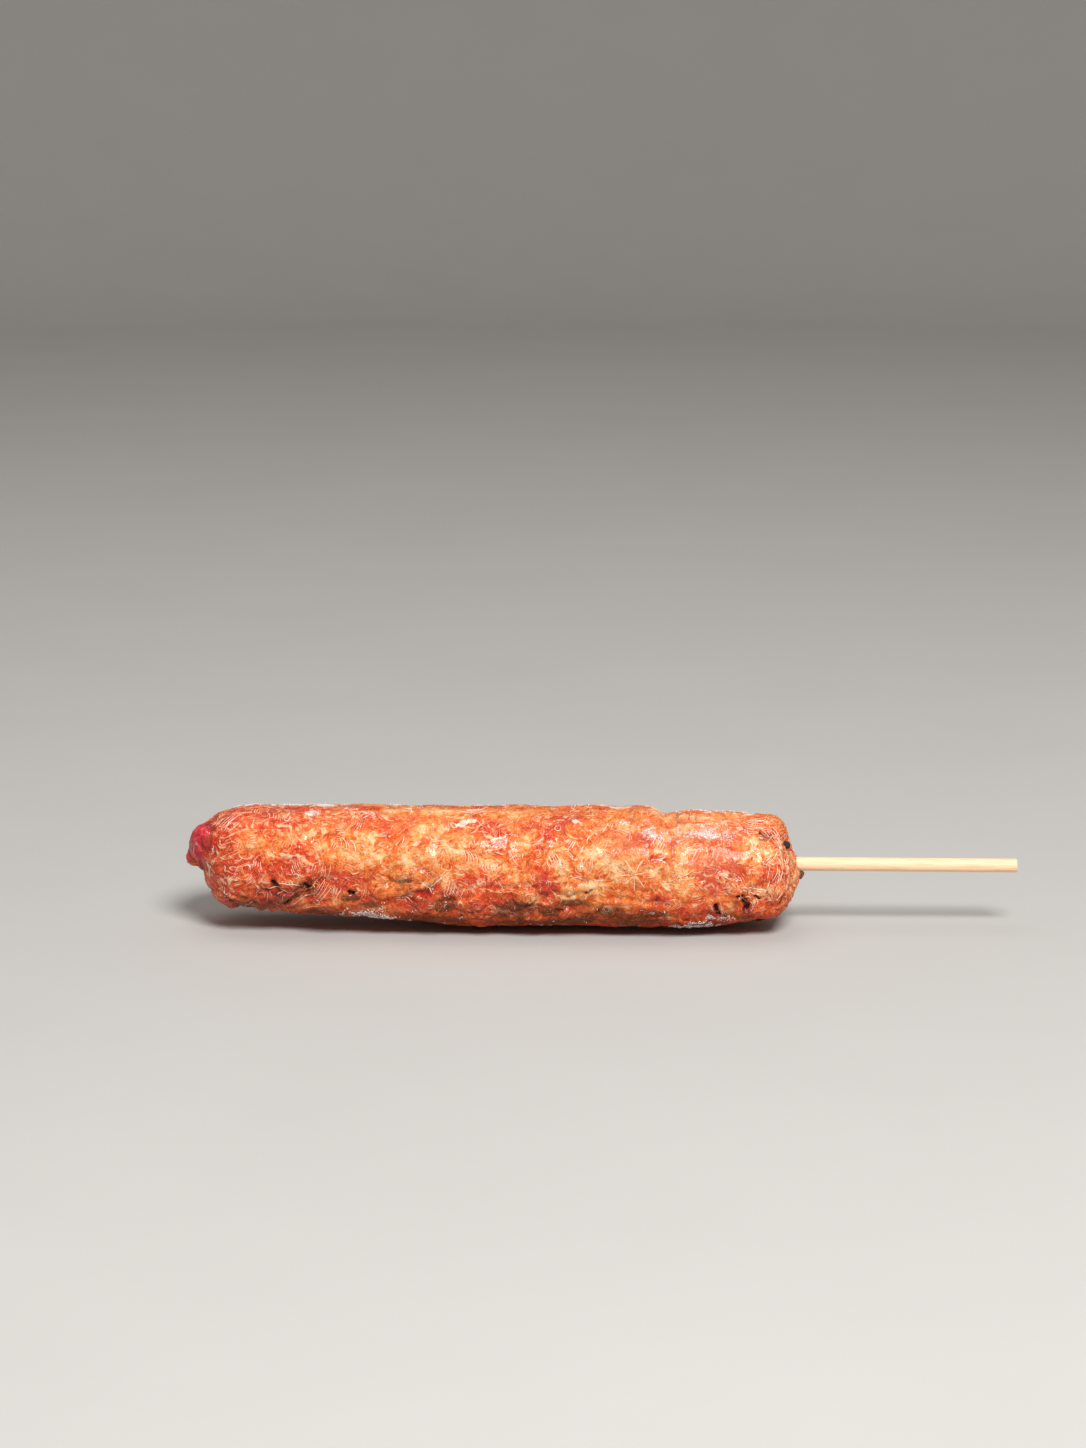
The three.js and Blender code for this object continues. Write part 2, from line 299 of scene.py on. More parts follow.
def meat_finish(looks):
    """Marbled raw mince under a thin wet film, with the marks that its attributes hold; some of them are
    painted shade, in creases, pits and towards the underside.
    """
    finish = Finish("meat_finish")
    step, mix = finish.step, finish.mix
    swirled = finish.warped(2.6, 1.1)

    cloud = finish.noise(8, 3, 0.55)
    grain = finish.noise(1.3, 4, 0.65, place=swirled)
    fine = finish.noise(0.45, 3, 0.6)
    lean = finish.attribute("lean")
    richness = finish.attribute("fat") * (grain * 0.32) - lean * 0.16
    tone = finish.attribute("tone") * 0.2 + cloud * 0.56 + grain * 0.5 + richness - 0.125
    shades = (looks.lean, looks.spiced, looks.mixed, looks.pale, looks.fat)
    colour = finish.ramp(tone, list(zip((0.3, 0.41, 0.52, 0.62, 0.74), shades)))
    colour = mix(lean * 0.55, colour, mix(step(grain, 0.4, 0.66), "CC3014", "F56A44"))

    # Painted shade: dark red-brown in the creases between lumps, in the grooves beside folds and round placed
    # lumps.
    crease = finish.attribute("crease")
    colour = mix((crease * (grain * 1.2 + 0.2)).clamped() * 0.8, colour, "8E220A")

    veins = step(finish.noise(3.8, 1.0, 0.5, 0.8).ridge(5), 0.84, 0.99) * step(finish.noise(3), 0.5, 0.6)
    colour = mix(veins * 0.5, colour, "B93618")
    long_fibres = finish.streaks(6.5, 22)
    short_fibres = finish.streaks(3.6, 13)
    side = step(finish.noise(3.2, 1), 0.42, 0.58)
    fibres = long_fibres * side + short_fibres * (1 - side)
    strands = step(fibres, 0.53, 0.7)
    colour = mix(step(fibres, 0.47, 0.3) * 0.7, colour, "AE300E")
    # Painted highlight: the raised ridges of the pleats and of the rings round the stick are coloured pale,
    # mixed with the real fat strands.
    pleats = step(finish.attribute("pleat") + (grain - 0.5) * 0.6, 0.55, 0.95) * 0.8
    threads = (strands + pleats).clamped()
    colour = mix(threads * 0.68, colour, "FFDCAE")

    colour = mix(step(fine, 0.58, 0.7) * 0.45, colour, "FFE2C4")
    colour = mix(step(fine, 0.42, 0.28) * 0.45, colour, "9E2C0C")

    patches = finish.noise(2.4, 3, 0.6, place=swirled)
    # Painted shade: red-brown towards the underside, less where the meat is lean.
    underside = finish.attribute("low") - lean * 0.3
    low = step(underside + (patches - 0.5) * 1.1 + (cloud - 0.5) * 0.6, 0.05, 0.95)
    colour = mix(low * 0.92, colour, mix(step(grain, 0.35, 0.65), "721A08", "DC5216"))
    # Dull brown patches: the meat's own brown in the small marks, painted shade of the underside in the long
    # low ones.
    brown_and_shade = step(finish.attribute("brown") + patches * 1.2 - 0.6, 0.25, 0.7)
    colour = mix(brown_and_shade * 0.78, colour, mix(step(fine, 0.4, 0.6), "3A1C0E", looks.brown_and_shade))

    white = step(finish.attribute("white") + (grain - 0.5) * 1.4 + (fine - 0.5) * 0.8, 0.4, 0.7)
    colour = mix(white * 0.9, colour, mix(step(fine, 0.4, 0.6), "F6D2BC", looks.white))

    raw = step(finish.attribute("raw") + (grain - 0.5) * 0.8, 0.3, 0.6)
    raw_colour = mix(step(grain, 0.42, 0.66), looks.raw, "F05A58")
    colour = mix(raw * 0.95, colour, raw_colour)

    # Dark crimson: the meat's own deep red, and painted shade in the folds and crevices low on the front.
    crimson = step(finish.attribute("crimson") + (patches - 0.5) * 1.1, 0.25, 0.8)
    colour = mix(crimson * 0.75, colour, mix(step(grain, 0.4, 0.62), "5A1410", "A83020"))

    wet = step(finish.attribute("wet") + (grain - 0.5) * 1.2 + (fine - 0.5) * 0.6, 0.35, 0.85)
    colour = mix(wet * 0.72, colour, mix(step(grain, 0.38, 0.62), "A0180C", looks.blood))

    film = finish.attribute("frost")
    speckle = step(finish.noise(0.55, 3, 0.75) + film * 0.14, 0.6, 0.66)
    speckle = speckle * step(film + (patches - 0.5) * 0.9, 0.1, 0.4)
    haze = finish.attribute("haze")
    colour = mix(haze * 0.3, colour, mix(fibres, "CE6E44", "F2BC9C"))
    colour = mix(film * 0.1, colour, "E0B496")
    colour = mix(speckle * 0.9, colour, "FFF8F2")

    # Painted shade: pits and slits go dark red round their edges and nearly black at their bottom.
    pit_shade = finish.attribute("pit_shade") + (grain - 0.5) * 0.9 + (fine - 0.5) * 0.5
    colour = mix(step(pit_shade, 0.15, 0.6) * 0.75, colour, "6A1C0C")
    colour = mix(step(pit_shade, 0.45, 0.85), colour, looks.pit_shade)

    roughness = 0.44 - wet * 0.24 + haze * 0.15 + speckle * 0.4 + brown_and_shade * 0.1 + (grain - 0.5) * 0.6
    roughness = roughness.clamped()
    height = fibres * 0.45 + threads * 0.05 + white * 0.15 + grain * 0.4 + fine * 0.2
    height = height + speckle * 0.1 - veins * 0.12
    return finish.surface(
        Base_Color=colour,
        Roughness=roughness,
        Normal=finish.bump(height),
        Coat_Weight=((grain * 0.6 + wet * 0.6) * (1 - low * 0.9) * (1 - haze * 0.8) * (1 - film)).clamped(),
        Coat_Roughness=0.09,
        Specular_IOR_Level=0.18,
        Subsurface_Weight=0.08,
        Subsurface_Radius=(1.0, 0.35, 0.2),
        Subsurface_Scale=0.8 * MM,
        IOR=1.4,
    )


def thread_finish(looks):
    """Fat and sinew; each thread's own shade says how pale it is."""
    finish = Finish("thread_finish")
    shade = finish.attribute("shade") + (finish.noise(1.4, 3, 0.6) - 0.5) * 0.7
    colour = finish.ramp(shade, [(0.25, looks.deep), (0.55, paint_colour("F8B070")), (0.9, looks.pale)])
    # Painted shade of the low side, as on the meat: threads near the underside go dark red-brown and lose
    # most of their coat.
    low = finish.step(finish.attribute("low"), 0.0, 0.9)
    colour = finish.mix(low * 0.85, colour, "8A3210")
    return finish.surface(
        Base_Color=colour,
        Roughness=0.28 + finish.noise(0.6) * 0.2,
        Normal=finish.bump(finish.noise(0.35, 2) * 0.06),
        Coat_Weight=0.3 - low * 0.28,
        Coat_Roughness=0.12,
        Specular_IOR_Level=0.3,
        Subsurface_Weight=0.1,
        Subsurface_Radius=(1.0, 0.5, 0.3),
        Subsurface_Scale=0.5 * MM,
    )


def frost_finish(looks):
    finish = Finish("frost_finish")
    cloudy = finish.noise(0.5, 2)
    colour = finish.mix(cloudy, looks.colour, "E6D8D2")
    return finish.surface(
        Base_Color=colour,
        Roughness=0.25 + cloudy * 0.4,
        Normal=finish.bump(finish.noise(0.15, 2) * 0.05),
        Subsurface_Weight=0.3,
        Subsurface_Radius=(1.0, 0.9, 0.85),
        Subsurface_Scale=0.4 * MM,
        IOR=1.31,
    )


def spice_finish(name, dark, light):
    """Dry and wrinkled, as a peppercorn or a burnt crumb is."""
    finish = Finish(name)
    wrinkle = finish.noise(0.35, 3, 0.6)
    return finish.surface(
        Base_Color=finish.mix(finish.step(wrinkle, 0.4, 0.7), dark, light),
        Roughness=0.5 + wrinkle * 0.3,
        Normal=finish.bump(wrinkle * 0.12),
    )


def bamboo_finish(looks):
    """Pale split bamboo: straight fibres along the stick, and a few short tan specks."""
    finish = Finish("bamboo_finish")
    along = finish.vector("MULTIPLY", {0: finish.place, 1: (0.045, 1.0, 1.0)})
    fibres = finish.noise(0.34, 3, 0.6, place=along)
    streaks = finish.noise(0.8, 2, 0.5, place=along)
    specks_place = finish.vector("MULTIPLY", {0: finish.place, 1: (0.4, 1.0, 1.0)})
    speck = finish.step(finish.noise(0.42, 2, place=specks_place), 0.7, 0.76)
    colour = finish.mix(finish.step(fibres, 0.5, 0.36) * 0.5, looks.colour, looks.fibre)
    colour = finish.mix(finish.step(streaks, 0.55, 0.72) * 0.3, colour, "F6DDA6")
    colour = finish.mix(speck * 0.6, colour, "D59A55")
    return finish.surface(
        Base_Color=colour,
        Roughness=0.5 + fibres * 0.2,
        Normal=finish.bump(fibres * 0.05),
    )


def floor_finish(looks):
    finish = Finish("floor_finish")
    cloud = finish.noise(60, 3)
    light = [min(1, c * 1.06) for c in looks.floor]
    return finish.surface(Base_Color=finish.mix(cloud, looks.floor, light), Roughness=0.9)


# ---- Modelling helpers ----


def select_only(piece):
    bpy.ops.object.select_all(action="DESELECT")
    piece.select_set(True)
    bpy.context.view_layer.objects.active = piece


def in_edit_mode(piece, *steps):
    """Runs each step on all of the piece in edit mode."""
    select_only(piece)
    bpy.ops.object.mode_set(mode="EDIT")
    bpy.ops.mesh.select_all(action="SELECT")
    for step in steps:
        step()
    bpy.ops.object.mode_set(mode="OBJECT")


def apply_modifier(piece, kind, **settings):
    select_only(piece)
    modifier = piece.modifiers.new(kind.title(), kind)
    for name, value in settings.items():
        setattr(modifier, name, value)
    bpy.ops.object.modifier_apply(modifier=modifier.name)


def new_piece(name, corners, faces):
    mesh = bpy.data.meshes.new(name)
    mesh.from_pydata(corners, [], faces)
    piece = bpy.data.objects.new(name, mesh)
    bpy.context.scene.collection.objects.link(piece)
    return piece


def finish_piece(piece, name, material, node=None):
    """Names, colours and smooths a piece, and hands it to the frame."""
    piece.name = piece.data.name = name
    piece.data.materials.clear()
    piece.data.materials.append(material)
    select_only(piece)
    bpy.ops.object.transform_apply(location=True, rotation=True, scale=True)
    bpy.ops.object.shade_smooth()
    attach(piece, "root")
    if node:
        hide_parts(node)


def corners_of(piece):
    found = np.empty(len(piece.data.vertices) * 3)
    piece.data.vertices.foreach_get("co", found)
    return found.reshape(-1, 3)


def normals_of(piece):
    found = np.empty(len(piece.data.vertices) * 3)
    piece.data.vertex_normals.foreach_get("vector", found)
    return found.reshape(-1, 3)


class Skin:
    """A piece's outer surface, to find places on it and to lay small things there."""

    def __init__(self, piece):
        self.tree = BVHTree.FromObject(piece, bpy.context.evaluated_depsgraph_get())

    def axis(self, along):
        """The point midway between the meat's top and underside."""
        side = Vector((MEAT_LOW.x + along * MM, 0, 0))
        top = self.tree.ray_cast(side + Vector((0, 0, 2 * MEAT_HEIGHT * MM)), Vector((0, 0, -1)))[0]
        under = self.tree.ray_cast(side - Vector((0, 0, MEAT_HEIGHT * MM)), Vector((0, 0, 1)))[0]
        if top is None or under is None:
            raise RuntimeError(f"no meat at {along} mm")
        return (top + under) / 2

    def at(self, along, turn):
        """The point and normal at a place, found from outside the kofta towards its axis."""
        angle = math.radians(turn)
        outwards = Vector((0, -math.cos(angle), math.sin(angle)))
        axis = self.axis(along)
        point, normal, _, _ = self.tree.ray_cast(axis + outwards * MEAT_HEIGHT * MM, -outwards)
        if point is None:
            raise RuntimeError(f"no meat at {along} mm, {turn} degrees")
        return point, normal

    def spread(self, points, place, reach_along, reach_round):
        """How far each point is from a place, in reaches."""
        middle = np.array(self.at(*place)[0]) / MM
        along = (points[:, 0] - middle[0]) / reach_along
        across = np.linalg.norm(points[:, 1:] - middle[1:], axis=1) / reach_round
        return np.hypot(along, across)

    def nearest(self, point):
        spot, normal, _, _ = self.tree.find_nearest(point)
        return spot, normal

    def trace(self, places, step=1.0, waver=0.0):
        """Points on the skin from place to place, straying by up to waver on the way, all in millimetres."""
        points = []
        for (along, turn), (next_along, next_turn) in zip(places, places[1:]):
            around = math.radians(next_turn - turn) * MEAT_RADIUS
            count = max(2, round(math.hypot(next_along - along, around) / step))
            for share in np.linspace(0, 1, count):
                here, there = along + (next_along - along) * share, turn + (next_turn - turn) * share
                stray = noise.noise_vector(Vector((here / 4, there / 15, 0))) * waver
                spot = self.at(here + stray.x, there + stray.y * 4.5)[0]
                points.append(np.array(spot) / MM)
        return np.array(points)


# ---- The meat ----

# Folds in the skin: the places that each joins, then its depth on the low side, its height on the
# other side and its width. The high side is to the left of the way that the fold runs.
FOLDS = [
    ([(25, -39), (28, -31), (32, -20), (36, -5), (38, 0)], 1, 0.6, 1.3),
    ([(28.5, -43), (33, -31), (38, -23), (40, -13)], 0.7, 0.5, 0.9),
    ([(20.5, -21), (24, -19), (31, -22)], 0.6, 0.45, 0.7),
    ([(6, 0), (12, 2), (18, 7), (21, 5)], 0.55, 0.45, 0.8),
    ([(6, 4), (10, 9), (16, 12)], 0.3, 0.25, 0.7),
    ([(7, -25), (12, -31), (19, -33)], 0.4, 0.3, 1),
    ([(9, 36), (14, 44), (20, 46)], 0.35, 0.25, 0.9),
    ([(10, 62), (16, 70), (24, 70)], 0.35, 0.25, 0.9),
    ([(40, 88), (48, 74), (56, 70)], 0.25, 0.25, 1),
    ([(50, -3), (55, 0), (60, -3)], 0.6, 0.4, 1.2),
    ([(53.5, -24), (58, -16), (62, -8), (66, 0)], 1.4, 0.8, 1.5),
    ([(60, -35), (65, -23), (70, -15), (76, -9)], 0.9, 0.6, 1.1),
    ([(74, -4), (80, -6), (86, -7), (90, -4)], 0.6, 0.45, 0.9),
    ([(90, -23), (96, -27), (100, -33)], 0.6, 0.45, 1),
    ([(92, -5), (99, 0), (107, 2)], 0.5, 0.4, 0.9),
    ([(100, -19), (108, -15), (116, -19), (124, -17)], 0.6, 0.4, 1),
    ([(112, -37), (120, -31), (129, -35)], 0.5, 0.4, 0.9),
    ([(96, 30), (101, 12), (104, 0)], 0.3, 0.3, 0.9),
    ([(134, -7), (140, -15), (146, -17)], 0.35, 0.3, 0.8),
    ([(125, 66), (133, 60), (140, 64)], 0.3, 0.3, 1.1),
    ([(118, 96), (124, 84), (130, 80)], 0.4, 0.3, 1.2),
    ([(55, 148), (58, 158), (64, 172), (65, 186), (71, 198)], 1, 0.6, 1.2),
    ([(101, 168), (107, 177), (107, 192), (114, 216)], 1, 0.6, 1.2),
    ([(20, 156), (27, 168), (27, 180), (31, 190)], 0.8, 0.5, 1.1),
    ([(80, 128), (92, 134), (99, 146)], 0.6, 0.5, 1),
    ([(36, 122), (44, 130), (50, 144)], 0.6, 0.5, 1),
    ([(126, 150), (133, 160), (133, 174), (137, 186)], 0.6, 0.5, 1),
    ([(44, 210), (52, 226), (63, 232)], 0.8, 0.5, 1.1),
    ([(84, 208), (92, 220), (99, 226)], 0.7, 0.5, 1),
]

# Lumps with a crease round them: the middle place, the reach along and round the meat, the height.
LUMPS = [
    ((3.5, 48), 5.5, 6, 1), ((3.5, 92), 3, 3, 0.8), ((8, -7), 4, 4.5, 0.4), ((10.5, -53), 4.2, 4.6, 0.8),
    ((51, -11), 3.4, 1.8, 0.6), ((57, 6), 5, 2.2, 0.7), ((62, -21), 4.5, 3, 0.5),
    ((72, -17), 4, 3.2, 0.6), ((85.5, -12), 3, 2.8, 0.9), ((93, -17), 3.4, 2.6, 0.5),
    ((96, -2), 4, 2.4, 0.5), ((116, 4), 3.6, 2.8, 0.5), ((126, -2), 4, 3.4, 0.4), ((138, -2), 3, 3, 0.5),
    ((117, 78), 5.5, 4.5, 0.6), ((129, 84), 6, 4, 0.4), ((54, 170), 4.5, 3, 0.6),
    ((76, 206), 4, 3.2, 0.7), ((98, 176), 3.6, 3, 0.5), ((122, 196), 4, 3.4, 0.6),
    ((34, 168), 4, 3, 0.5), ((140, 160), 3.6, 3, 0.5),
]

# Soft swells and dips: the middle place, the reach along and round the meat, the height.
SWELLS = [
    ((115.5, 92), 4.5, 7, 0.9), ((119.9, 92), 1.8, 6, -0.8), ((128, 90), 6, 8, 0.9),
    ((140, 88), 8, 8, 1.3), ((147, 92), 4, 6, 1.1), ((151, 60), 3, 4, -0.9), ((45, -76), 8, 8, -1.3),
    ((57, -76), 6, 8, -0.8), ((23.5, -72), 2.4, 5, -0.8), ((142, -74), 6, 7, -1.1),
    ((10.5, -44), 1.6, 1.4, 0.4), ((12.6, -50), 1, 1, 0.5), ((20, -50), 1.2, 1, 0.9),
    ((22.6, -49), 0.9, 0.9, 0.8), ((27, -47), 1, 0.9, 0.7), ((8, -36), 1.2, 1.4, 0.6),
    ((9, 92), 1.6, 2.2, 0.6), ((5.5, 86), 1.6, 2.2, -0.5), ((34, 95), 3, 5, 0.3), ((46, 96), 6, 6, 0.35),
]

# Pits and slits, with painted shade inside: the places that each joins, its depth and its half width.
PITS = [
    ([(23.6, -9), (24.2, -14)], 1.8, 0.75),
    ([(31.4, -8), (32.6, -13), (31.6, -19)], 0.9, 0.5),
    ([(42.5, -12.5), (43.3, -13)], 1.5, 0.62),
    ([(26.2, -37), (27.4, -32)], 0.8, 0.42),
    ([(132.6, -18), (132.8, -23), (133.2, -28)], 1.4, 0.5),
    ([(139.6, -15), (140.4, -20), (140.2, -24)], 1.4, 0.6),
    ([(138, -9), (139.2, -8.5)], 1, 0.45),
    ([(142.4, -10), (143.2, -14)], 0.8, 0.36),
    ([(143.6, 57), (146, 54)], 0.8, 0.45),
    ([(148.6, -23), (149.4, -13)], 0.9, 0.45),
    ([(100.6, -8), (100.9, -8)], 0.7, 0.35),
    ([(101.6, -6), (101.9, -6)], 0.6, 0.3),
    ([(70, 199), (71, 204)], 1.5, 0.6),
    ([(113, 217), (115, 221)], 1.4, 0.6),
    ([(88, 160), (89.5, 163)], 1.1, 0.45),
    ([(36, 184), (37, 188)], 1.2, 0.5),
    ([(137, 200), (139, 205)], 1.3, 0.5),
]
TIP_FOLD = ([(1.6, -12), (2.8, -40), (3.8, -75), (4.2, -110)], 2.2, 1.8)

FOLD_STEP = 0.6  # between two points of a fold's line; lengths here are in millimetres
PIT_STEP = 0.4
WAVER = 0.8  # how far folds and cords stray from a straight way
RIM_HEIGHT, RIM_WIDTH = 0.32, 0.55  # of the swelling round a pit
UNDERCUT = 1.5  # how far the meat draws in below its sides
UNDERCUT_TURN, UNDERCUT_SPREAD = -65, 18  # where it does so, in degrees
GATHER_REACH, GATHER_FADE, GATHER_STEP = 18, 5, 1.3  # rings of skin gathered round the stick
PLEAT_REACH, PLEAT_COUNT = 20, 23  # pleats that run back from the tip
TIP_HEIGHT = 18  # of the tip's middle above the surface that the kofta lies on
LOW_TOP, LOW_DEPTH = 13, 10  # where the painted shade of the low side starts, and how soon it is full

# Soft marks painted on the meat: for each attribute, the middle place, and its reach along and
# round the meat in millimetres.
MARKS = {
    "raw": [
        ((3.5, 48), 6.2, 6.8), ((3, 90), 4.6, 5), ((3.4, 20), 4.6, 4.6), ((1, 0), 1.8, 2),
    ],
    "lean": [
        ((13, 74), 8, 7), ((27, 78), 12, 5), ((9, 44), 5, 8), ((28, 50), 4, 3), ((14, 8), 8, 5),
        ((22, -2), 7, 4), ((9, -24), 7, 7), ((22, -24), 9, 8), ((33, -14), 4, 5), ((46, -17), 5, 2.6),
        ((57, -22), 4, 1.6), ((94, -24), 5, 1.6), ((30.5, 22), 4, 4.4), ((40, 0), 5, 2.6),
        ((62, -12), 5, 1.6), ((67, -13), 4, 3), ((91, 40), 3, 3), ((118, 24), 2.4, 1.6),
        ((146, 12), 3, 3), ((79, 41), 3.4, 3.4), ((76, -1), 7, 3), ((90, 2), 3, 4), ((80, -24), 12, 3),
        ((97, 66), 4, 2.6), ((116, 38), 3, 2.4), ((120, -13), 3.6, 2.4), ((126, -23), 7, 3),
        ((136, -44), 12, 3.6), ((133, -2), 4, 3), ((141, -19), 4, 3), ((136, 12), 4.6, 3.4),
        ((67, -14), 3, 1.6), ((92, -21), 4, 1.8), ((33, -24), 4, 2.2), ((59, -26), 4, 2),
        ((145, -17), 3, 2.4), ((19, 64), 8, 4.4), ((147, 54), 2.4, 2.4), ((16, 120), 14, 12),
        ((64, 190), 10, 5), ((104, 196), 9, 5), ((30, 170), 8, 6), ((134, 190), 8, 5),
    ],
    "wet": [
        ((8.5, 24), 2.2, 1.6), ((12, -43), 3.4, 2), ((39.5, 4), 2.2, 1), ((60, -11), 3.4, 0.8),
        ((64, -4), 1.8, 1), ((92, -4), 2.6, 2.2), ((90.5, 4), 1.2, 2.6), ((120, -12), 2, 1.2),
        ((132, -6), 1.6, 1.6), ((140, -20), 2.2, 1.2), ((28, -20), 3, 2), ((12, 60), 3, 3),
        ((147.5, -42), 2.2, 2.2), ((66, 182), 3.6, 2), ((108, 196), 3.4, 2.4), ((24, 176), 2.6, 1.8),
        ((93, 140), 3.4, 1.6), ((125, 168), 2.8, 2),
    ],
    # Crimson marks: partly deep red meat, partly painted shade in folds and crevices low on the front.
    "crimson": [
        ((6.8, 28), 1.2, 2.6), ((7.6, 54), 1.2, 3.4), ((28, -18), 3.4, 2), ((32, -8), 2.4, 2.4),
        ((13, -50), 3, 1.6), ((24, -28), 7, 3.6), ((33.5, -17), 1.8, 2.4), ((57, -16), 3, 1),
        ((61, -10), 2.4, 0.9), ((90.5, -10), 1.4, 1), ((118, -12), 1.6, 1.2), ((129, -42), 9, 2.2),
        ((133, -30), 3, 1.4), ((140, -27), 2, 1.4), ((145, 50), 2.4, 1), ((66, 190), 5, 2),
        ((110, 204), 5, 2), ((27, 184), 4, 2),
    ],
    # Small brown marks are the meat's own; the long ones low on the sides are painted shade of the underside.
    "brown": [
        ((4.5, -20), 2.4, 2.4), ((43, -18), 3, 1.2), ((92, -26), 4, 2), ((36, -42), 8, 2.2),
        ((62, -42), 13, 3), ((90, -44), 12, 3), ((17, -40), 7, 3), ((26, -28), 3, 2),
        ((23, -34), 3.4, 2), ((31, -13), 3, 1.6), ((56, 1), 3, 0.6), ((48, -24), 3, 1.4),
        ((66, -22), 3.4, 2.4), ((83, -27), 7, 3), ((97, -19), 5, 1.4), ((99.5, -38), 5, 3),
        ((107, -28), 4, 2), ((107.3, -27), 2, 1.2), ((112, -38), 7, 3), ((117, -28), 4, 1.4),
        ((127, -48), 8, 3), ((139.5, -33), 2, 1.2), ((60, 228), 12, 5), ((104, 226), 14, 5),
        ((30, 222), 9, 4), ((135, 222), 8, 5),
    ],
    "fat": [
        ((19, 48), 1.8, 1.4), ((23, 24), 3, 2.2), ((43, 13), 4, 2.2), ((53, 12), 3.4, 2.4),
        ((69, 24), 4.4, 2.6), ((85, 18), 3.6, 2.4), ((103, 0), 3.2, 1.8), ((105, 42), 4, 2.8),
        ((110, -12), 3.2, 2), ((118, 14), 5, 2.6), ((122, 60), 4.6, 3.4), ((144, 40), 3.2, 2.8),
        ((61, -2), 3, 1.8), ((43, 36), 3, 2), ((19, 28), 2.6, 2.4), ((26, 35), 2.4, 2),
        ((31, -6), 2.4, 1.6), ((145, -3), 2.6, 2.4), ((24, 44), 2.2, 1.6), ((4.4, -6), 1.8, 1.8),
        ((33, 38), 2.4, 2), ((35, 28), 3.2, 2.2), ((44, 26), 6, 3.6), ((46, 40), 4, 2.4),
        ((50, 24), 4, 3.6), ((56, 10), 4, 3.6), ((41.3, -19), 2.4, 1.6), ((52, 76), 3.4, 2),
        ((57, 18), 4.6, 4), ((62, 48), 4, 3.4), ((65, 79), 3.6, 1.6), ((63, 24), 3, 2.6),
        ((61, 0), 3.4, 2.2), ((72.7, 16), 3.8, 3), ((79, 11), 2.8, 2), ((74, 27), 3, 2.6),
        ((85, 14), 4, 4), ((86, 38), 3, 2.2), ((95, 20), 5, 5), ((97, -10), 3.6, 3), ((92, 34), 3, 2.4),
        ((87.5, -15), 2.6, 2), ((89, 77), 3.4, 1.8), ((102, 26), 5, 3.4), ((104, 52), 5, 4),
        ((108, 12), 3.6, 3), ((111, 57), 5, 4), ((120, 56), 5, 5), ((117, 29), 3, 2.4),
        ((123, 12), 5, 4), ((121, -2), 4.2, 2.8), ((124, 68), 7, 4), ((132, 62), 4.6, 2.2),
        ((141, 37), 4.6, 4), ((113, 72), 5, 3), ((114, -14), 3, 2.4), ((123, -29), 3, 1.5),
        ((131.5, -10), 2.4, 2), ((137, -21), 2.4, 2), ((142, 46), 3.4, 2.4), ((147, -4), 2.4, 2),
        ((50, 160), 9, 6), ((84, 190), 8, 6), ((116, 150), 9, 5), ((30, 140), 6, 5),
    ],
    "white": [
        ((69.5, 56), 1.6, 1.2), ((71.5, 60), 2.6, 1.2), ((98, 61), 1.3, 1.3), ((32, 68), 1.3, 1.3),
        ((109, 97), 3.8, 2), ((84, 164), 1.6, 1.1),
    ],
    "haze": [
        ((127, 56), 13, 6), ((110, 34), 5, 5), ((131, 24), 7, 4), ((118, 86), 6, 4), ((27, -34), 3, 2),
        ((47, -38), 6, 3), ((82, 150), 10, 4), ((116, 200), 8, 4),
    ],
    "frost": [
        ((48, -42), 4, 1.2), ((35, 98), 4, 3), ((25, 102), 9, 2), ((53, 100), 1.6, 1.4),
        ((117, 46), 2.4, 1.4), ((130, 51), 7, 1.4), ((110, 62), 1.6, 1.2), ((127, -52), 6, 1.6),
        ((88, 146), 6, 1.2), ((24, 204), 3.4, 1.2), ((118, 236), 8, 2.4),
    ],
}


def gaps_to(points, trace):
    """Each point's distance to a traced line, and the index of the nearest of the line's points."""
    spans = np.linalg.norm(points[:, None, :] - trace[None, :, :], axis=2)
    nearest = spans.argmin(axis=1)
    return spans[np.arange(len(points)), nearest], nearest


def fold_relief(points, normals, trace, depth, lip, width):
    """A flap's edge: it stands up on one side and drops steeply to a groove on the other."""
    near = np.linalg.norm(points - trace.mean(axis=0), axis=1) < np.ptp(trace, axis=0).max() + 6
    height = np.zeros(len(points))
    gap, nearest = gaps_to(points[near], trace)
    heading = np.gradient(trace, axis=0)[nearest]
    side = np.einsum("ij,ij->i", np.cross(heading, normals[near]), points[near] - trace[nearest])
    signed = np.sign(side) * gap
    ends = np.minimum(nearest, len(trace) - 1 - nearest) / (len(trace) / 4)
    fade = np.clip(ends + 0.15, 0, 1) * np.exp(-((gap / (width * 2.5)) ** 4))
    blend = 1 / (1 + np.exp(-signed * 5 / width))
    high = lip * np.exp(-((signed / (width * 1.6)) ** 2))
    low = -depth * np.exp(-((signed / width) ** 2))
    height[near] = fade * (blend * high + (1 - blend) * low)
    return height


def filled_copy(node):
    """A merged copy of a CAD node's mesh."""
    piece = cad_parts[node].copy()
    piece.data = piece.data.copy()
    piece.parent = None
    for key in list(piece.keys()):
        del piece[key]
    bpy.context.scene.collection.objects.link(piece)
    in_edit_mode(piece, lambda: bpy.ops.mesh.remove_doubles(threshold=0.01 * MM))
    return piece


def stick_gaps(points):
    """Each point's distance from the stick's axis line, in metres."""
    heading = np.array([math.cos(STICK_TILT), 0, -math.sin(STICK_TILT)])
    away = points - np.array(STICK_MIDDLE)
    return np.linalg.norm(away - np.outer(away @ heading, heading), axis=1)


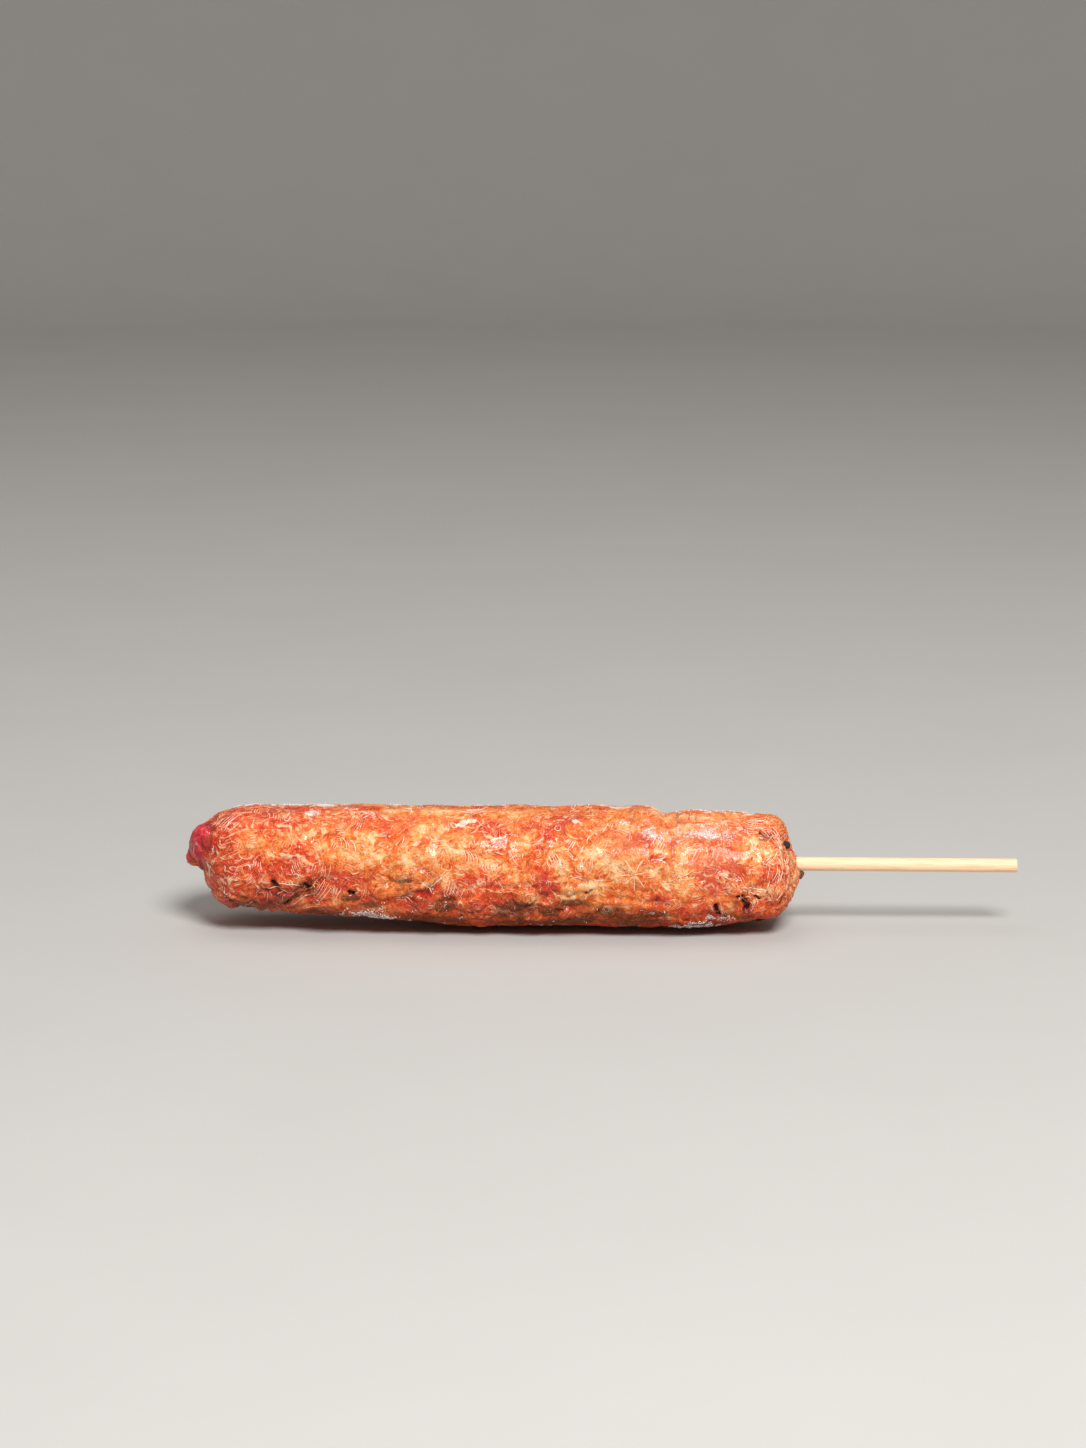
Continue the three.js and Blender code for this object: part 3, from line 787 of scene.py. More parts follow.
def close_bore(piece):
    """Takes out the walls of the stick's bore and closes its mouth, so that only the outside is left."""
    corners = corners_of(piece)
    in_bore = (stick_gaps(corners) < STICK_RADIUS + 0.35 * MM) & (corners[:, 0] > STICK_LOW.x - MM)
    in_edit_mode(
        piece,
        lambda: bpy.ops.mesh.select_mode(type="FACE"),
        lambda: bpy.ops.mesh.select_all(action="DESELECT"),
    )
    for polygon in piece.data.polygons:
        polygon.select = all(in_bore[i] for i in polygon.vertices)
    bpy.ops.object.mode_set(mode="EDIT")
    bpy.ops.mesh.delete(type="FACE")
    bpy.ops.mesh.select_mode(type="VERT")
    bpy.ops.mesh.select_all(action="SELECT")
    bpy.ops.mesh.delete_loose()
    bpy.ops.mesh.select_all(action="SELECT")
    bpy.ops.mesh.fill_holes(sides=0)
    bpy.ops.object.mode_set(mode="OBJECT")


def displace(piece, kind, size, height, **settings):
    """Moves the skin in and out by a built-in pattern of that grain size."""
    texture = bpy.data.textures.new(f"{kind.lower()}_relief", kind)
    texture.noise_scale = size * MM
    for name, value in settings.items():
        setattr(texture, name, value)
    apply_modifier(
        piece, "DISPLACE", texture=texture, texture_coords="LOCAL", strength=height, mid_level=0.5
    )


def pleats(points):
    """Thin rings of skin gathered round the stick, and pleats that run back from the tip: -1 to 1."""
    height = np.zeros(len(points))
    exit_spot = Vector((MEAT_HIGH.x, 0, AXIS_HEIGHT)) / MM
    tip = MEAT_LOW.x / MM
    for i, spot in enumerate(map(Vector, points)):
        if spot.x > exit_spot.x - GATHER_REACH:
            far = (spot - exit_spot).length
            swirl = noise.fractal(spot / 6, 1.0, 2.0, 2) * 6
            fade = min(1, max(0, (GATHER_REACH - far) / GATHER_FADE))
            height[i] = math.sin((far + swirl) * 2 * math.pi / GATHER_STEP) * fade
        elif spot.x < tip + PLEAT_REACH:
            around = math.atan2(spot.z - TIP_HEIGHT, -spot.y) + noise.noise(spot / 6) * 0.8
            fade = math.sin(math.pi * min(1, max(0, (spot.x - tip) / PLEAT_REACH)))
            height[i] = math.sin(around * PLEAT_COUNT + noise.noise(spot / 3) * 2) * fade * 0.35
    return height


CELL_WEIGHTS = [(127.1, 311.7, 74.7), (269.5, 183.3, 246.1), (113.5, 271.9, 124.6)]


def hashed(cells, *weights):
    """A number from 0 to 1 for each cell, which looks random."""
    return np.modf(np.abs(np.sin(cells @ np.array(weights)) * 43758.5453))[0]


def cells(points, size):
    """For each point: how far its lump stands out there, the crease beside it, and the lump's own number."""
    spots = points / size
    corner = np.floor(spots)
    first = np.full(len(points), 9.0)
    second = first.copy()
    own = np.zeros(len(points))
    for step in itertools.product((-1, 0, 1), repeat=3):
        cell = corner + step
        jitter = [hashed(cell, *weights) for weights in CELL_WEIGHTS]
        gap = np.linalg.norm(spots - cell - np.array(jitter).T, axis=1)
        closer = gap < first
        second = np.where(closer, first, np.minimum(second, gap))
        own = np.where(closer, hashed(cell, 61.3, 17.9, 98.2), own)
        first = np.minimum(first, gap)
    crease = np.clip((second - first) / 0.32, 0, 1)
    dome = 1 - np.clip(first * 1.1, 0, 1) ** 2
    return dome * (0.4 + 0.6 * crease), 1 - crease, own


def drift(points, size, reach):
    """Points pushed about by up to about reach, in swirls of that size."""
    return points + np.array([noise.noise_vector(Vector(spot) / size) for spot in points]) * reach


def mince(points, looks):
    """Lumps of mince: the height of each point, how deep in a crease it is, and its lump's tone."""
    wander = np.array([noise.noise(Vector(spot) / 16) for spot in points])
    rough = 0.2 + 0.8 * np.clip(wander * 2 + 1.1 - points[:, 2] / 20, 0, 1)
    drifted = drift(points, 5, 2.2)
    lump, between, own = cells(drifted, 5.2)
    grain, gap, small_own = cells(drift(drifted, 2, 0.6), 2.1)
    height = (lump - 0.5) * rough * looks.lump_height / MM + (grain - 0.5) * looks.mince_height / MM
    crease = np.clip(rough * (between * 0.9 + gap * 0.3), 0, 1)
    # The tone drops towards the creases between lumps and rises on their tops: painted shade and painted
    # light.
    return height, crease, (own * 0.6 + small_own * 0.4) * (1 - 0.5 * between) + lump * 0.15


def lump_relief(far, height):
    """A rounded lump, and the crease round its edge, from how far each point is in reaches."""
    bulge = height * np.sqrt(np.clip(1 - far**2, 0, 1))
    return bulge - 0.45 * height * np.exp(-(((far - 1.06) / 0.13) ** 2))


def store(piece, name, values):
    attribute = piece.data.attributes.new(name, "FLOAT", "POINT")
    attribute.data.foreach_set("value", np.ascontiguousarray(values, dtype=np.float32))


def sculpt_meat(piece, looks):
    """Raises lumps and pleats, presses folds and pits in, and paints each kind of mark as an attribute."""
    skin = Skin(piece)
    points, normals = corners_of(piece) / MM, normals_of(piece)
    height, crease, tone = mince(points, looks)
    # The crease mask says where painted shade goes: the mince's creases, the low sides of folds and the rings
    # round lumps.
    crease *= 0.5
    broken = np.clip([0.65 + 1.8 * noise.noise(Vector(spot) / 2.5) for spot in points], 0, 1)
    pleat = pleats(points)
    height += pleat * 0.17
    pit_shade = np.zeros(len(points))
    for path, *shape in FOLDS:
        relief = fold_relief(points, normals, skin.trace(path, FOLD_STEP, WAVER), *shape)
        height += relief
        crease = np.maximum(crease, np.clip(-relief / 0.7, 0, 1) * (0.4 + 0.6 * broken))
    for place, reach_along, reach_round, lump_height in LUMPS:
        far = skin.spread(points, place, reach_along, reach_round)
        height += lump_relief(far, lump_height)
        crease = np.maximum(crease, np.exp(-(((far - 1.06) / 0.16) ** 2)) * 0.6 * broken)
    for path, depth, width in PITS:
        gap, _ = gaps_to(points, skin.trace(path, PIT_STEP))
        rim = RIM_HEIGHT * np.exp(-(((gap - width * 2.1) / RIM_WIDTH) ** 2))
        height += rim - depth * np.exp(-((gap / width) ** 2))
        # Where the painted shade of the pits goes.
        pit_shade = np.maximum(pit_shade, np.exp(-((gap / (width * 1.1)) ** 2)))
    for place, reach_along, reach_round, swell_height in SWELLS:
        height += swell_height * np.exp(-(skin.spread(points, place, reach_along, reach_round) ** 2))
    path, depth, width = TIP_FOLD
    gap, _ = gaps_to(points, skin.trace(path, PIT_STEP))
    height -= depth * np.exp(-((gap / width) ** 2))
    values = {"pit_shade": pit_shade, "crease": crease, "tone": tone, "pleat": pleat * 0.5 + 0.5}
    for name, marks in MARKS.items():
        values[name] = np.zeros(len(points))
        for place, reach_along, reach_round in marks:
            far = skin.spread(points, place, reach_along, reach_round)
            values[name] = np.maximum(values[name], np.exp(-(far**2)))
    values["low"] = low_share(points[:, 2])
    turn = np.degrees(np.arctan2(points[:, 2] - AXIS_HEIGHT / MM, np.abs(points[:, 1])))
    height -= UNDERCUT * np.exp(-(((turn - UNDERCUT_TURN) / UNDERCUT_SPREAD) ** 2))
    for name, value in values.items():
        store(piece, name, value)
    points += normals * height[:, None]
    points[:, 2] = np.clip(points[:, 2], MEAT_LOW.z / MM, MEAT_HIGH.z / MM + 0.3)
    piece.data.vertices.foreach_set("co", (points * MM).ravel())
    piece.data.update()


def low_share(height):
    """How much painted shade the low side gets: 1 near the underside, 0 from the low side's top up. The
    height is in millimetres.
    """
    return np.clip((LOW_TOP - height) / LOW_DEPTH, 0, 1)


class KOFTA_OT_meat(bpy.types.Operator):
    """Make the meat: closed, finely meshed, lumpy, folded and marked"""

    bl_idname = "kofta.meat"
    bl_label = "Meat"
    bl_options = {"REGISTER", "UNDO"}

    def execute(self, context):
        looks = context.scene.kofta_meat
        piece = filled_copy("kofta")
        close_bore(piece)
        apply_modifier(piece, "SUBSURF", levels=1, render_levels=1)
        apply_modifier(piece, "REMESH", mode="VOXEL", voxel_size=looks.grain)
        apply_modifier(piece, "SMOOTH", factor=0.5, iterations=8)
        sculpt_meat(piece, looks)
        finish_piece(piece, "kofta_meat", meat_finish(looks), "kofta")
        return {"FINISHED"}


# ---- Fat threads ----

THREAD_SECTION = [(-0.5, -0.3), (0, 0.26), (0.5, -0.3)]  # across and up, in widths
THREAD_STEP = 0.4  # between two sections, in millimetres
SHEAF_SPACING = 0.75  # between a sheaf's threads, in millimetres
RING_REACH = 6.2  # a ring's length in radii, just short of closing

# Threads laid one by one: a star is threads that leave its place all round it, a ring goes round its
# place, and a sheaf is threads side by side. Each has its place, its size in millimetres, how many
# threads it has, the way that it lies in degrees from along the kofta, and its curl.
STARS = [((112.5, 7), 4.6, 7), ((62, 174), 4.6, 7)]
RINGS = [((93.5, 52), 0.75), ((29.5, -1), 0.6), ((60, 200), 0.9)]
SHEAVES = [
    ((10, 46), 5.5, 9, 50, 0.02), ((12, 12), 6, 2, 20, 0.02), ((7, -6), 3, 5, 10, -0.1),
    ((24, 55), 3, 5, 70, 0.3), ((27, 28), 2.4, 5, 85, -0.3), ((42, 24), 4, 7, 70, 0.35),
    ((36, -2), 4.5, 4, 60, 0.12), ((34, -26), 6, 5, 48, 0.05), ((63, 30), 5, 4, 30, -0.2),
    ((72, 75), 6, 5, 20, 0.1), ((74, 80), 5, 5, 150, 0.1), ((73, 16), 4, 8, 70, 0.3),
    ((79, 11), 2, 6, 95, 0.05), ((68, -14), 4, 7, 60, 0.12), ((87, -16), 3, 6, 50, -0.4),
    ((94, 14), 4.5, 6, 95, 0.15), ((101, 12), 4, 5, 80, 0.1), ((112, 50), 5, 5, 140, 0.1),
    ((118, 30), 4.5, 5, 60, 0.05), ((117, 84), 6, 7, 15, 0.2), ((128, 66), 6, 6, 10, -0.1),
    ((140, 64), 6, 9, -20, 0.14), ((145, 58), 5.5, 6, -50, -0.1), ((146, 36), 5, 6, -80, -0.1),
    ((142, -12), 4.5, 4, -40, 0.2), ((146, -17), 5, 7, 45, 0.1), ((147, -2), 5, 6, 65, 0.1),
    ((128, 20), 4, 4, 65, 0.02), ((150, 12), 4.5, 7, 85, 0.12), ((40, 160), 5, 6, 40, 0.2),
    ((92, 200), 5, 6, 60, 0.2), ((124, 180), 5, 6, -30, 0.2),
]


# Edges of folds that catch the light: the places that each joins, its width in millimetres and shade.
CORDS = [
    ([(26.2, -45), (28.4, -34), (31, -23), (33.4, -14), (35.2, -3), (36, 4)], 0.7, 0.45),
    ([(27.5, -36), (31, -26), (34.5, -18)], 0.35, 0.8),
    ([(28.7, -46), (33, -34), (37, -26)], 0.4, 0.6),
    ([(21, -16), (25.6, -17), (30, -22)], 0.4, 0.85),
    ([(25, -10), (27.4, -9), (31, -9)], 0.35, 0.9),
    ([(33, -10), (33.8, -14), (33.6, -20)], 0.35, 0.8),
    ([(6.4, 4), (7, -6), (7.6, -20)], 0.5, 0.95),
    ([(62, -5), (64, -1), (66.5, 6)], 0.35, 0.9),
    ([(60, -1), (62, -5), (63, -10)], 0.35, 0.9),
    ([(74.5, -5), (80, -9), (85, -9)], 0.4, 0.5),
    ([(138.8, -4), (142, -4), (144.8, -9), (145.4, -15)], 0.35, 0.9),
    ([(138.2, -11), (139.4, -19), (141, -24)], 0.35, 0.85),
    ([(141, -10), (143, -12), (144, -17)], 0.3, 0.8),
    ([(131.4, -19), (132.2, -30)], 0.35, 0.8),
    ([(134, -18), (134.6, -29)], 0.35, 0.6),
    ([(143, 60), (147, 57)], 0.35, 0.8),
    ([(56, 151), (58, 160), (64, 172), (65, 184), (70, 196)], 0.45, 0.4),
    ([(102, 171), (107, 178), (107, 192), (113, 213)], 0.45, 0.4),
    ([(21, 160), (27, 170), (27, 182), (31, 192)], 0.4, 0.5),
    ([(127, 154), (133, 162), (133, 176), (137, 188)], 0.4, 0.5),
]


def swirl_heading(point, normal):
    """The way that the meat's own threads run at a point: round the swirls of a smooth field."""
    spot = point / (5.5 * MM)
    here = noise.noise(spot)
    slope = Vector([noise.noise(spot + step) - here for step in Matrix.Identity(3) * 0.02])
    heading = normal.cross(slope)
    return heading.normalized() if heading.length > 1e-6 else normal.orthogonal()


def lay_thread(skin, start, heading, length, curl):
    """Walks over the skin from start, turning steadily, or along the swirls where there is no heading."""
    swirling = heading is None
    point, normal = skin.nearest(start)
    stations = []
    for _ in range(max(4, round(length / THREAD_STEP))):
        if swirling:
            heading = swirl_heading(point, normal)
        heading = (heading - normal * heading.dot(normal)).normalized()
        stations.append((point, heading.cross(normal), normal))
        heading = Matrix.Rotation(curl * THREAD_STEP, 3, normal) @ heading
        point, normal = skin.nearest(point + heading * THREAD_STEP * MM)
    return stations


class ThreadMesh:
    """The corners, faces and shades of many threads, gathered for one piece."""

    def __init__(self):
        self.corners, self.faces, self.shades = [], [], []

    def add(self, stations, width, shade):
        """A ridge along the stations that narrows to its ends."""
        if min(point.z for point, _, _ in stations) < MEAT_LOW.z + 0.5 * MM:
            return
        first = len(self.corners)
        last = len(stations) - 1
        sides = len(THREAD_SECTION)
        for i, (point, across, normal) in enumerate(stations):
            girth = width * (0.3 + 0.7 * math.sin(math.pi * (i + 0.5) / (last + 1)) ** 0.5)
            for out, up in THREAD_SECTION:
                self.corners.append(point + across * out * girth + normal * up * girth)
                self.shades.append(shade)
        for i in range(last):
            for k in range(sides):
                low, high = first + i * sides, first + (i + 1) * sides
                self.faces.append((low + k, low + (k + 1) % sides, high + (k + 1) % sides, high + k))
        self.faces.append(tuple(first + k for k in reversed(range(sides))))
        self.faces.append(tuple(first + last * sides + k for k in range(sides)))

    def piece(self, name):
        piece = new_piece(name, self.corners, self.faces)
        store(piece, "shade", self.shades)
        store(piece, "low", low_share(np.array([corner.z / MM for corner in self.corners])))
        in_edit_mode(piece, lambda: bpy.ops.mesh.normals_make_consistent(inside=False))
        return piece


class KOFTA_OT_threads(bpy.types.Operator):
    """Lay curled fat threads on the meat: listed stars, rings and sheaves, and many more at random"""

    bl_idname = "kofta.threads"
    bl_label = "Fat threads"
    bl_options = {"REGISTER", "UNDO"}

    def execute(self, context):
        looks = context.scene.kofta_threads
        chance = random.Random(7)
        skin = Skin(bpy.data.objects["kofta_meat"])
        threads = ThreadMesh()
        self.lay_placed(skin, chance, threads, looks.width)
        while len(threads.faces) * 2 < looks.most_faces:
            self.lay_bundle(skin, chance, threads, looks.width)
        piece = threads.piece("fat_threads")
        finish_piece(piece, "fat_threads", thread_finish(looks))
        return {"FINISHED"}

    def lay_placed(self, skin, chance, threads, width):
        for path, cord_width, shade in CORDS:
            stations = []
            spots = [skin.nearest(Vector(spot) * MM) for spot in skin.trace(path, THREAD_STEP, WAVER)]
            for (point, normal), (after, _) in zip(spots, spots[1:]):
                if (after - point).length > 0.1 * THREAD_STEP * MM:
                    stations.append((point, (after - point).cross(normal).normalized(), normal))
            threads.add(stations, cord_width * MM, shade)
        for place, size, count in STARS:
            middle, normal = skin.at(*place)
            for i in range(count):
                turned = Matrix.Rotation(2 * math.pi * (i + chance.uniform(-0.2, 0.2)) / count, 3, normal)
                heading = turned @ normal.orthogonal().normalized()
                start = middle + heading * 0.5 * MM
                length, curl = size * chance.uniform(0.6, 1.1), chance.uniform(-0.1, 0.1)
                stations = lay_thread(skin, start, heading, length, curl)
                threads.add(stations, width * 1.5, 0.75)
        for place, radius in RINGS:
            middle, normal = skin.at(*place)
            out = normal.orthogonal().normalized()
            start, heading = middle + out * radius * MM, normal.cross(out)
            stations = lay_thread(skin, start, heading, RING_REACH * radius, 1 / radius)
            threads.add(stations, width, 0.9)
        for place, length, count, way, curl in SHEAVES:
            middle, normal = skin.at(*place)
            along = Vector((1, 0, 0)) - normal * normal.x
            heading = Matrix.Rotation(math.radians(way), 3, normal) @ along.normalized()
            across = heading.cross(normal).normalized()
            for i in range(count):
                start = middle + across * (i - count / 2) * SHEAF_SPACING * MM
                start += heading * chance.uniform(-0.4, 0.4) * MM
                stations = lay_thread(skin, start, heading, length * chance.uniform(0.7, 1.1), curl)
                threads.add(stations, width * chance.uniform(0.8, 1.2), chance.uniform(0.45, 1))

    def lay_bundle(self, skin, chance, threads, width):
        """A few threads side by side that follow the swirls, or now and then a loose one that does not."""
        along, turn = chance.uniform(2.5, MEAT_LENGTH - 2), chance.uniform(-75, 255)
        if along < 8 and -5 < turn < 100:
            return
        middle, normal = skin.at(along, turn)
        loose = chance.random() < 0.2
        turned = Matrix.Rotation(chance.uniform(0, 2 * math.pi), 3, normal)
        heading = turned @ normal.orthogonal().normalized() if loose else None
        curl = chance.uniform(-0.5, 0.5) if loose else 0.0
        across = (heading or swirl_heading(middle, normal)).cross(normal).normalized()
        spacing = chance.uniform(0.45, 0.8)
        shade = chance.triangular(-0.1, 1.1, 0.3)
        for strand in range(1 if loose else chance.choice((2, 3, 4, 5, 6))):
            start = middle + across * (spacing * strand + chance.uniform(-0.1, 0.1)) * MM
            stations = lay_thread(skin, start, heading, chance.triangular(0.9, 4.2, 1.8), curl)
            threads.add(stations, width * chance.uniform(0.5, 1.2), shade + chance.uniform(-0.15, 0.15))


# ---- Frost ----

# Where ice has grown: the middle place, its reach along and round the meat, how many clumps, and the
# most crystals in one.
FROST = [
    ((48, -40), 6, 2.4, 80, 14), ((35, 100), 2.4, 1.6, 30, 12), ((33, 72), 1.3, 1.4, 16, 12),
    ((25, 104), 7, 1, 46, 10), ((13, 104), 0.8, 0.8, 12, 8), ((16, 104), 0.8, 0.8, 12, 8),
    ((52.7, 104), 0.9, 0.8, 14, 8), ((117, 46), 3.4, 2.6, 26, 22), ((131, 52), 9, 2.6, 60, 22),
    ((122, 40), 7, 3.4, 16, 14), ((132, 100), 9, 1.4, 44, 10), ((127, -45), 6, 2, 60, 14),
    ((134, -36), 4, 1.2, 20, 14), ((86, 148), 9, 2, 40, 16), ((24, 204), 5, 1.6, 24, 14),
    # The last two rows scatter single ice grains over the whole meat; they also stand in for wet glints, a
    # painted highlight.
    ((118, 232), 9, 2.6, 50, 12), ((76, 30), 66, 30, 260, 6), ((76, 170), 66, 40, 220, 6),
]


def crystal(chance, point, normal, size):
    """An uneven eight-sided splinter of ice, standing on the skin at a random lean."""
    lean = Vector([chance.gauss(0, 0.6) for _ in range(3)])
    up = (normal + lean).normalized()
    across = up.orthogonal().normalized()
    other = up.cross(across)
    length = size * chance.uniform(0.5, 1.3)
    girth = size * chance.uniform(0.3, 0.55)
    middle = point + normal * length * 0.25
    return [
        middle + up * length * 0.7,
        middle - up * length * 0.5,
        middle + across * girth,
        middle + other * girth * chance.uniform(0.5, 1),
        middle - across * girth * chance.uniform(0.5, 1),
        middle - other * girth,
    ]


class KOFTA_OT_frost(bpy.types.Operator):
    """Grow clumps of ice crystals in patches on the meat"""

    bl_idname = "kofta.frost"
    bl_label = "Frost"
    bl_options = {"REGISTER", "UNDO"}

    def execute(self, context):
        looks = context.scene.kofta_frost
        chance = random.Random(11)
        skin = Skin(bpy.data.objects["kofta_meat"])
        corners, faces = [], []
        for (along, turn), reach_along, reach_round, count, most in FROST:
            for _ in range(count):
                spot_along = min(MEAT_LENGTH - 2, max(2, chance.gauss(along, reach_along * 0.5)))
                spot_turn = turn + math.degrees(chance.gauss(0, reach_round * 0.5) / MEAT_RADIUS)
                middle, out = skin.at(spot_along, spot_turn)
                heading = Matrix.Rotation(chance.uniform(0, math.pi), 3, out) @ out.orthogonal().normalized()
                for _ in range(chance.randint(1, most)):
                    stray = heading * chance.gauss(0, 0.45) + out.cross(heading) * chance.gauss(0, 0.22)
                    point, normal = skin.nearest(middle + stray * MM)
                    size = looks.size * chance.uniform(0.5, 1.3)
                    self.add_crystal(corners, faces, crystal(chance, point, normal, size))
        floor = MEAT_LOW.z
        corners = [Vector((c.x, c.y, max(c.z, floor))) for c in corners]
        piece = new_piece("frost_crystals", corners, faces)
        finish_piece(piece, "frost_crystals", frost_finish(looks))
        bpy.ops.object.shade_flat()
        return {"FINISHED"}

    def add_crystal(self, corners, faces, points):
        """Closes a crystal's two tips over the ring of corners between them."""
        first = len(corners)
        corners += points
        for k in range(4):
            a, b = first + 2 + k, first + 2 + (k + 1) % 4
            faces += [(first, a, b), (first + 1, b, a)]


# ---- Spices ----

PEPPER_PLACE = (149.8, 46)
PEPPER_SIZE, CRUMB_SIZE = 2.1, 2.2  # in millimetres


def ball(middle, size, squash, rough, seed):
    """A wrinkled ball: an icosphere pressed unevenly and roughened."""
    bpy.ops.object.select_all(action="DESELECT")
    bpy.ops.mesh.primitive_ico_sphere_add(subdivisions=5, radius=size / 2, location=middle)
    piece = bpy.context.object
    in_edit_mode(
        piece,
        lambda: bpy.ops.transform.resize(value=squash, center_override=middle),
        lambda: bpy.ops.transform.vertex_random(offset=size * 0.012, seed=seed),
    )
    select_only(piece)
    bpy.ops.object.transform_apply(location=True)
    displace(piece, "CLOUDS", size / MM * 0.3, rough * size, noise_depth=2)
    return piece


class KOFTA_OT_spices(bpy.types.Operator):
    """Press a peppercorn and a burnt crumb into the meat beside the stick"""

    bl_idname = "kofta.spices"
    bl_label = "Spices"
    bl_options = {"REGISTER", "UNDO"}

    def execute(self, context):
        skin = Skin(bpy.data.objects["kofta_meat"])
        point, normal = skin.at(*PEPPER_PLACE)
        pepper = ball(point + normal * 0.35 * MM, PEPPER_SIZE * MM, (1.1, 0.92, 0.85), 0.35, 3)
        finish_piece(pepper, "peppercorn", spice_finish("pepper_finish", "0B0908", "2B2421"))
        beside = Vector((MEAT_HIGH.x - 0.2 * MM, -0.3 * MM, STICK_MIDDLE.z - 2.8 * MM))
        crumb = ball(beside, CRUMB_SIZE * MM, (0.9, 0.9, 1.1), 0.4, 5)
        finish_piece(crumb, "burnt_crumb", spice_finish("crumb_finish", "4A2A12", "9A6430"))
        return {"FINISHED"}


# ---- The stick ----

STICK_SIDES = 64
STICK_SHARE = 0.985  # of the construction stick's radius
END_EASE = 0.4  # in millimetres


class KOFTA_OT_stick(bpy.types.Operator):
    """Turn the bamboo stick, with eased ends and raised fibres"""

    bl_idname = "kofta.stick"
    bl_label = "Stick"
    bl_options = {"REGISTER", "UNDO"}

    def execute(self, context):
        looks = context.scene.kofta_stick
        bpy.ops.object.select_all(action="DESELECT")
        bpy.ops.mesh.primitive_cylinder_add(
            vertices=STICK_SIDES, radius=STICK_RADIUS * STICK_SHARE, depth=STICK_LENGTH, end_fill_type="NGON"
        )
        piece = bpy.context.object
        in_edit_mode(
            piece,
            lambda: bpy.ops.mesh.select_mode(type="EDGE"),
            lambda: bpy.ops.mesh.select_all(action="DESELECT"),
        )
        corners = piece.data.vertices
        for edge in piece.data.edges:
            first, second = edge.vertices
            edge.select = abs(corners[first].co.z - corners[second].co.z) < MM
        bpy.ops.object.mode_set(mode="EDIT")
        bpy.ops.mesh.bevel(offset=END_EASE * MM, segments=4, affect="EDGES")
        bpy.ops.object.mode_set(mode="OBJECT")
        piece.rotation_euler = (0, math.pi / 2 + STICK_TILT, 0)
        piece.location = STICK_MIDDLE
        finish_piece(piece, "bamboo_stick", bamboo_finish(looks), "stick")
        bpy.ops.object.shade_smooth_by_angle(angle=math.radians(35))
        return {"FINISHED"}


# ---- The studio ----

FLOOR_RADIUS, FLOOR_BEND, WALL_HEIGHT, BEND_STEPS = 1.6, 0.5, 0.9, 12  # lengths in metres
KOFTA_SHARE = 0.765  # of the picture's width
PICTURE_SHAPE = 4 / 3  # height over width
AIM_LEFT, AIM_UP = 0.053, 0.0985  # of the picture's width and height


def area_light(name, middle, offset, size, power):
    light = bpy.data.lights.new(name, "AREA")
    light.shape = "DISK"
    light.size = size
    light.energy = power
    lamp = bpy.data.objects.new(name, light)
    lamp.location = middle + Vector(offset)
    lamp.rotation_euler = (-Vector(offset)).to_track_quat("-Z", "Y").to_euler()
    bpy.context.scene.collection.objects.link(lamp)


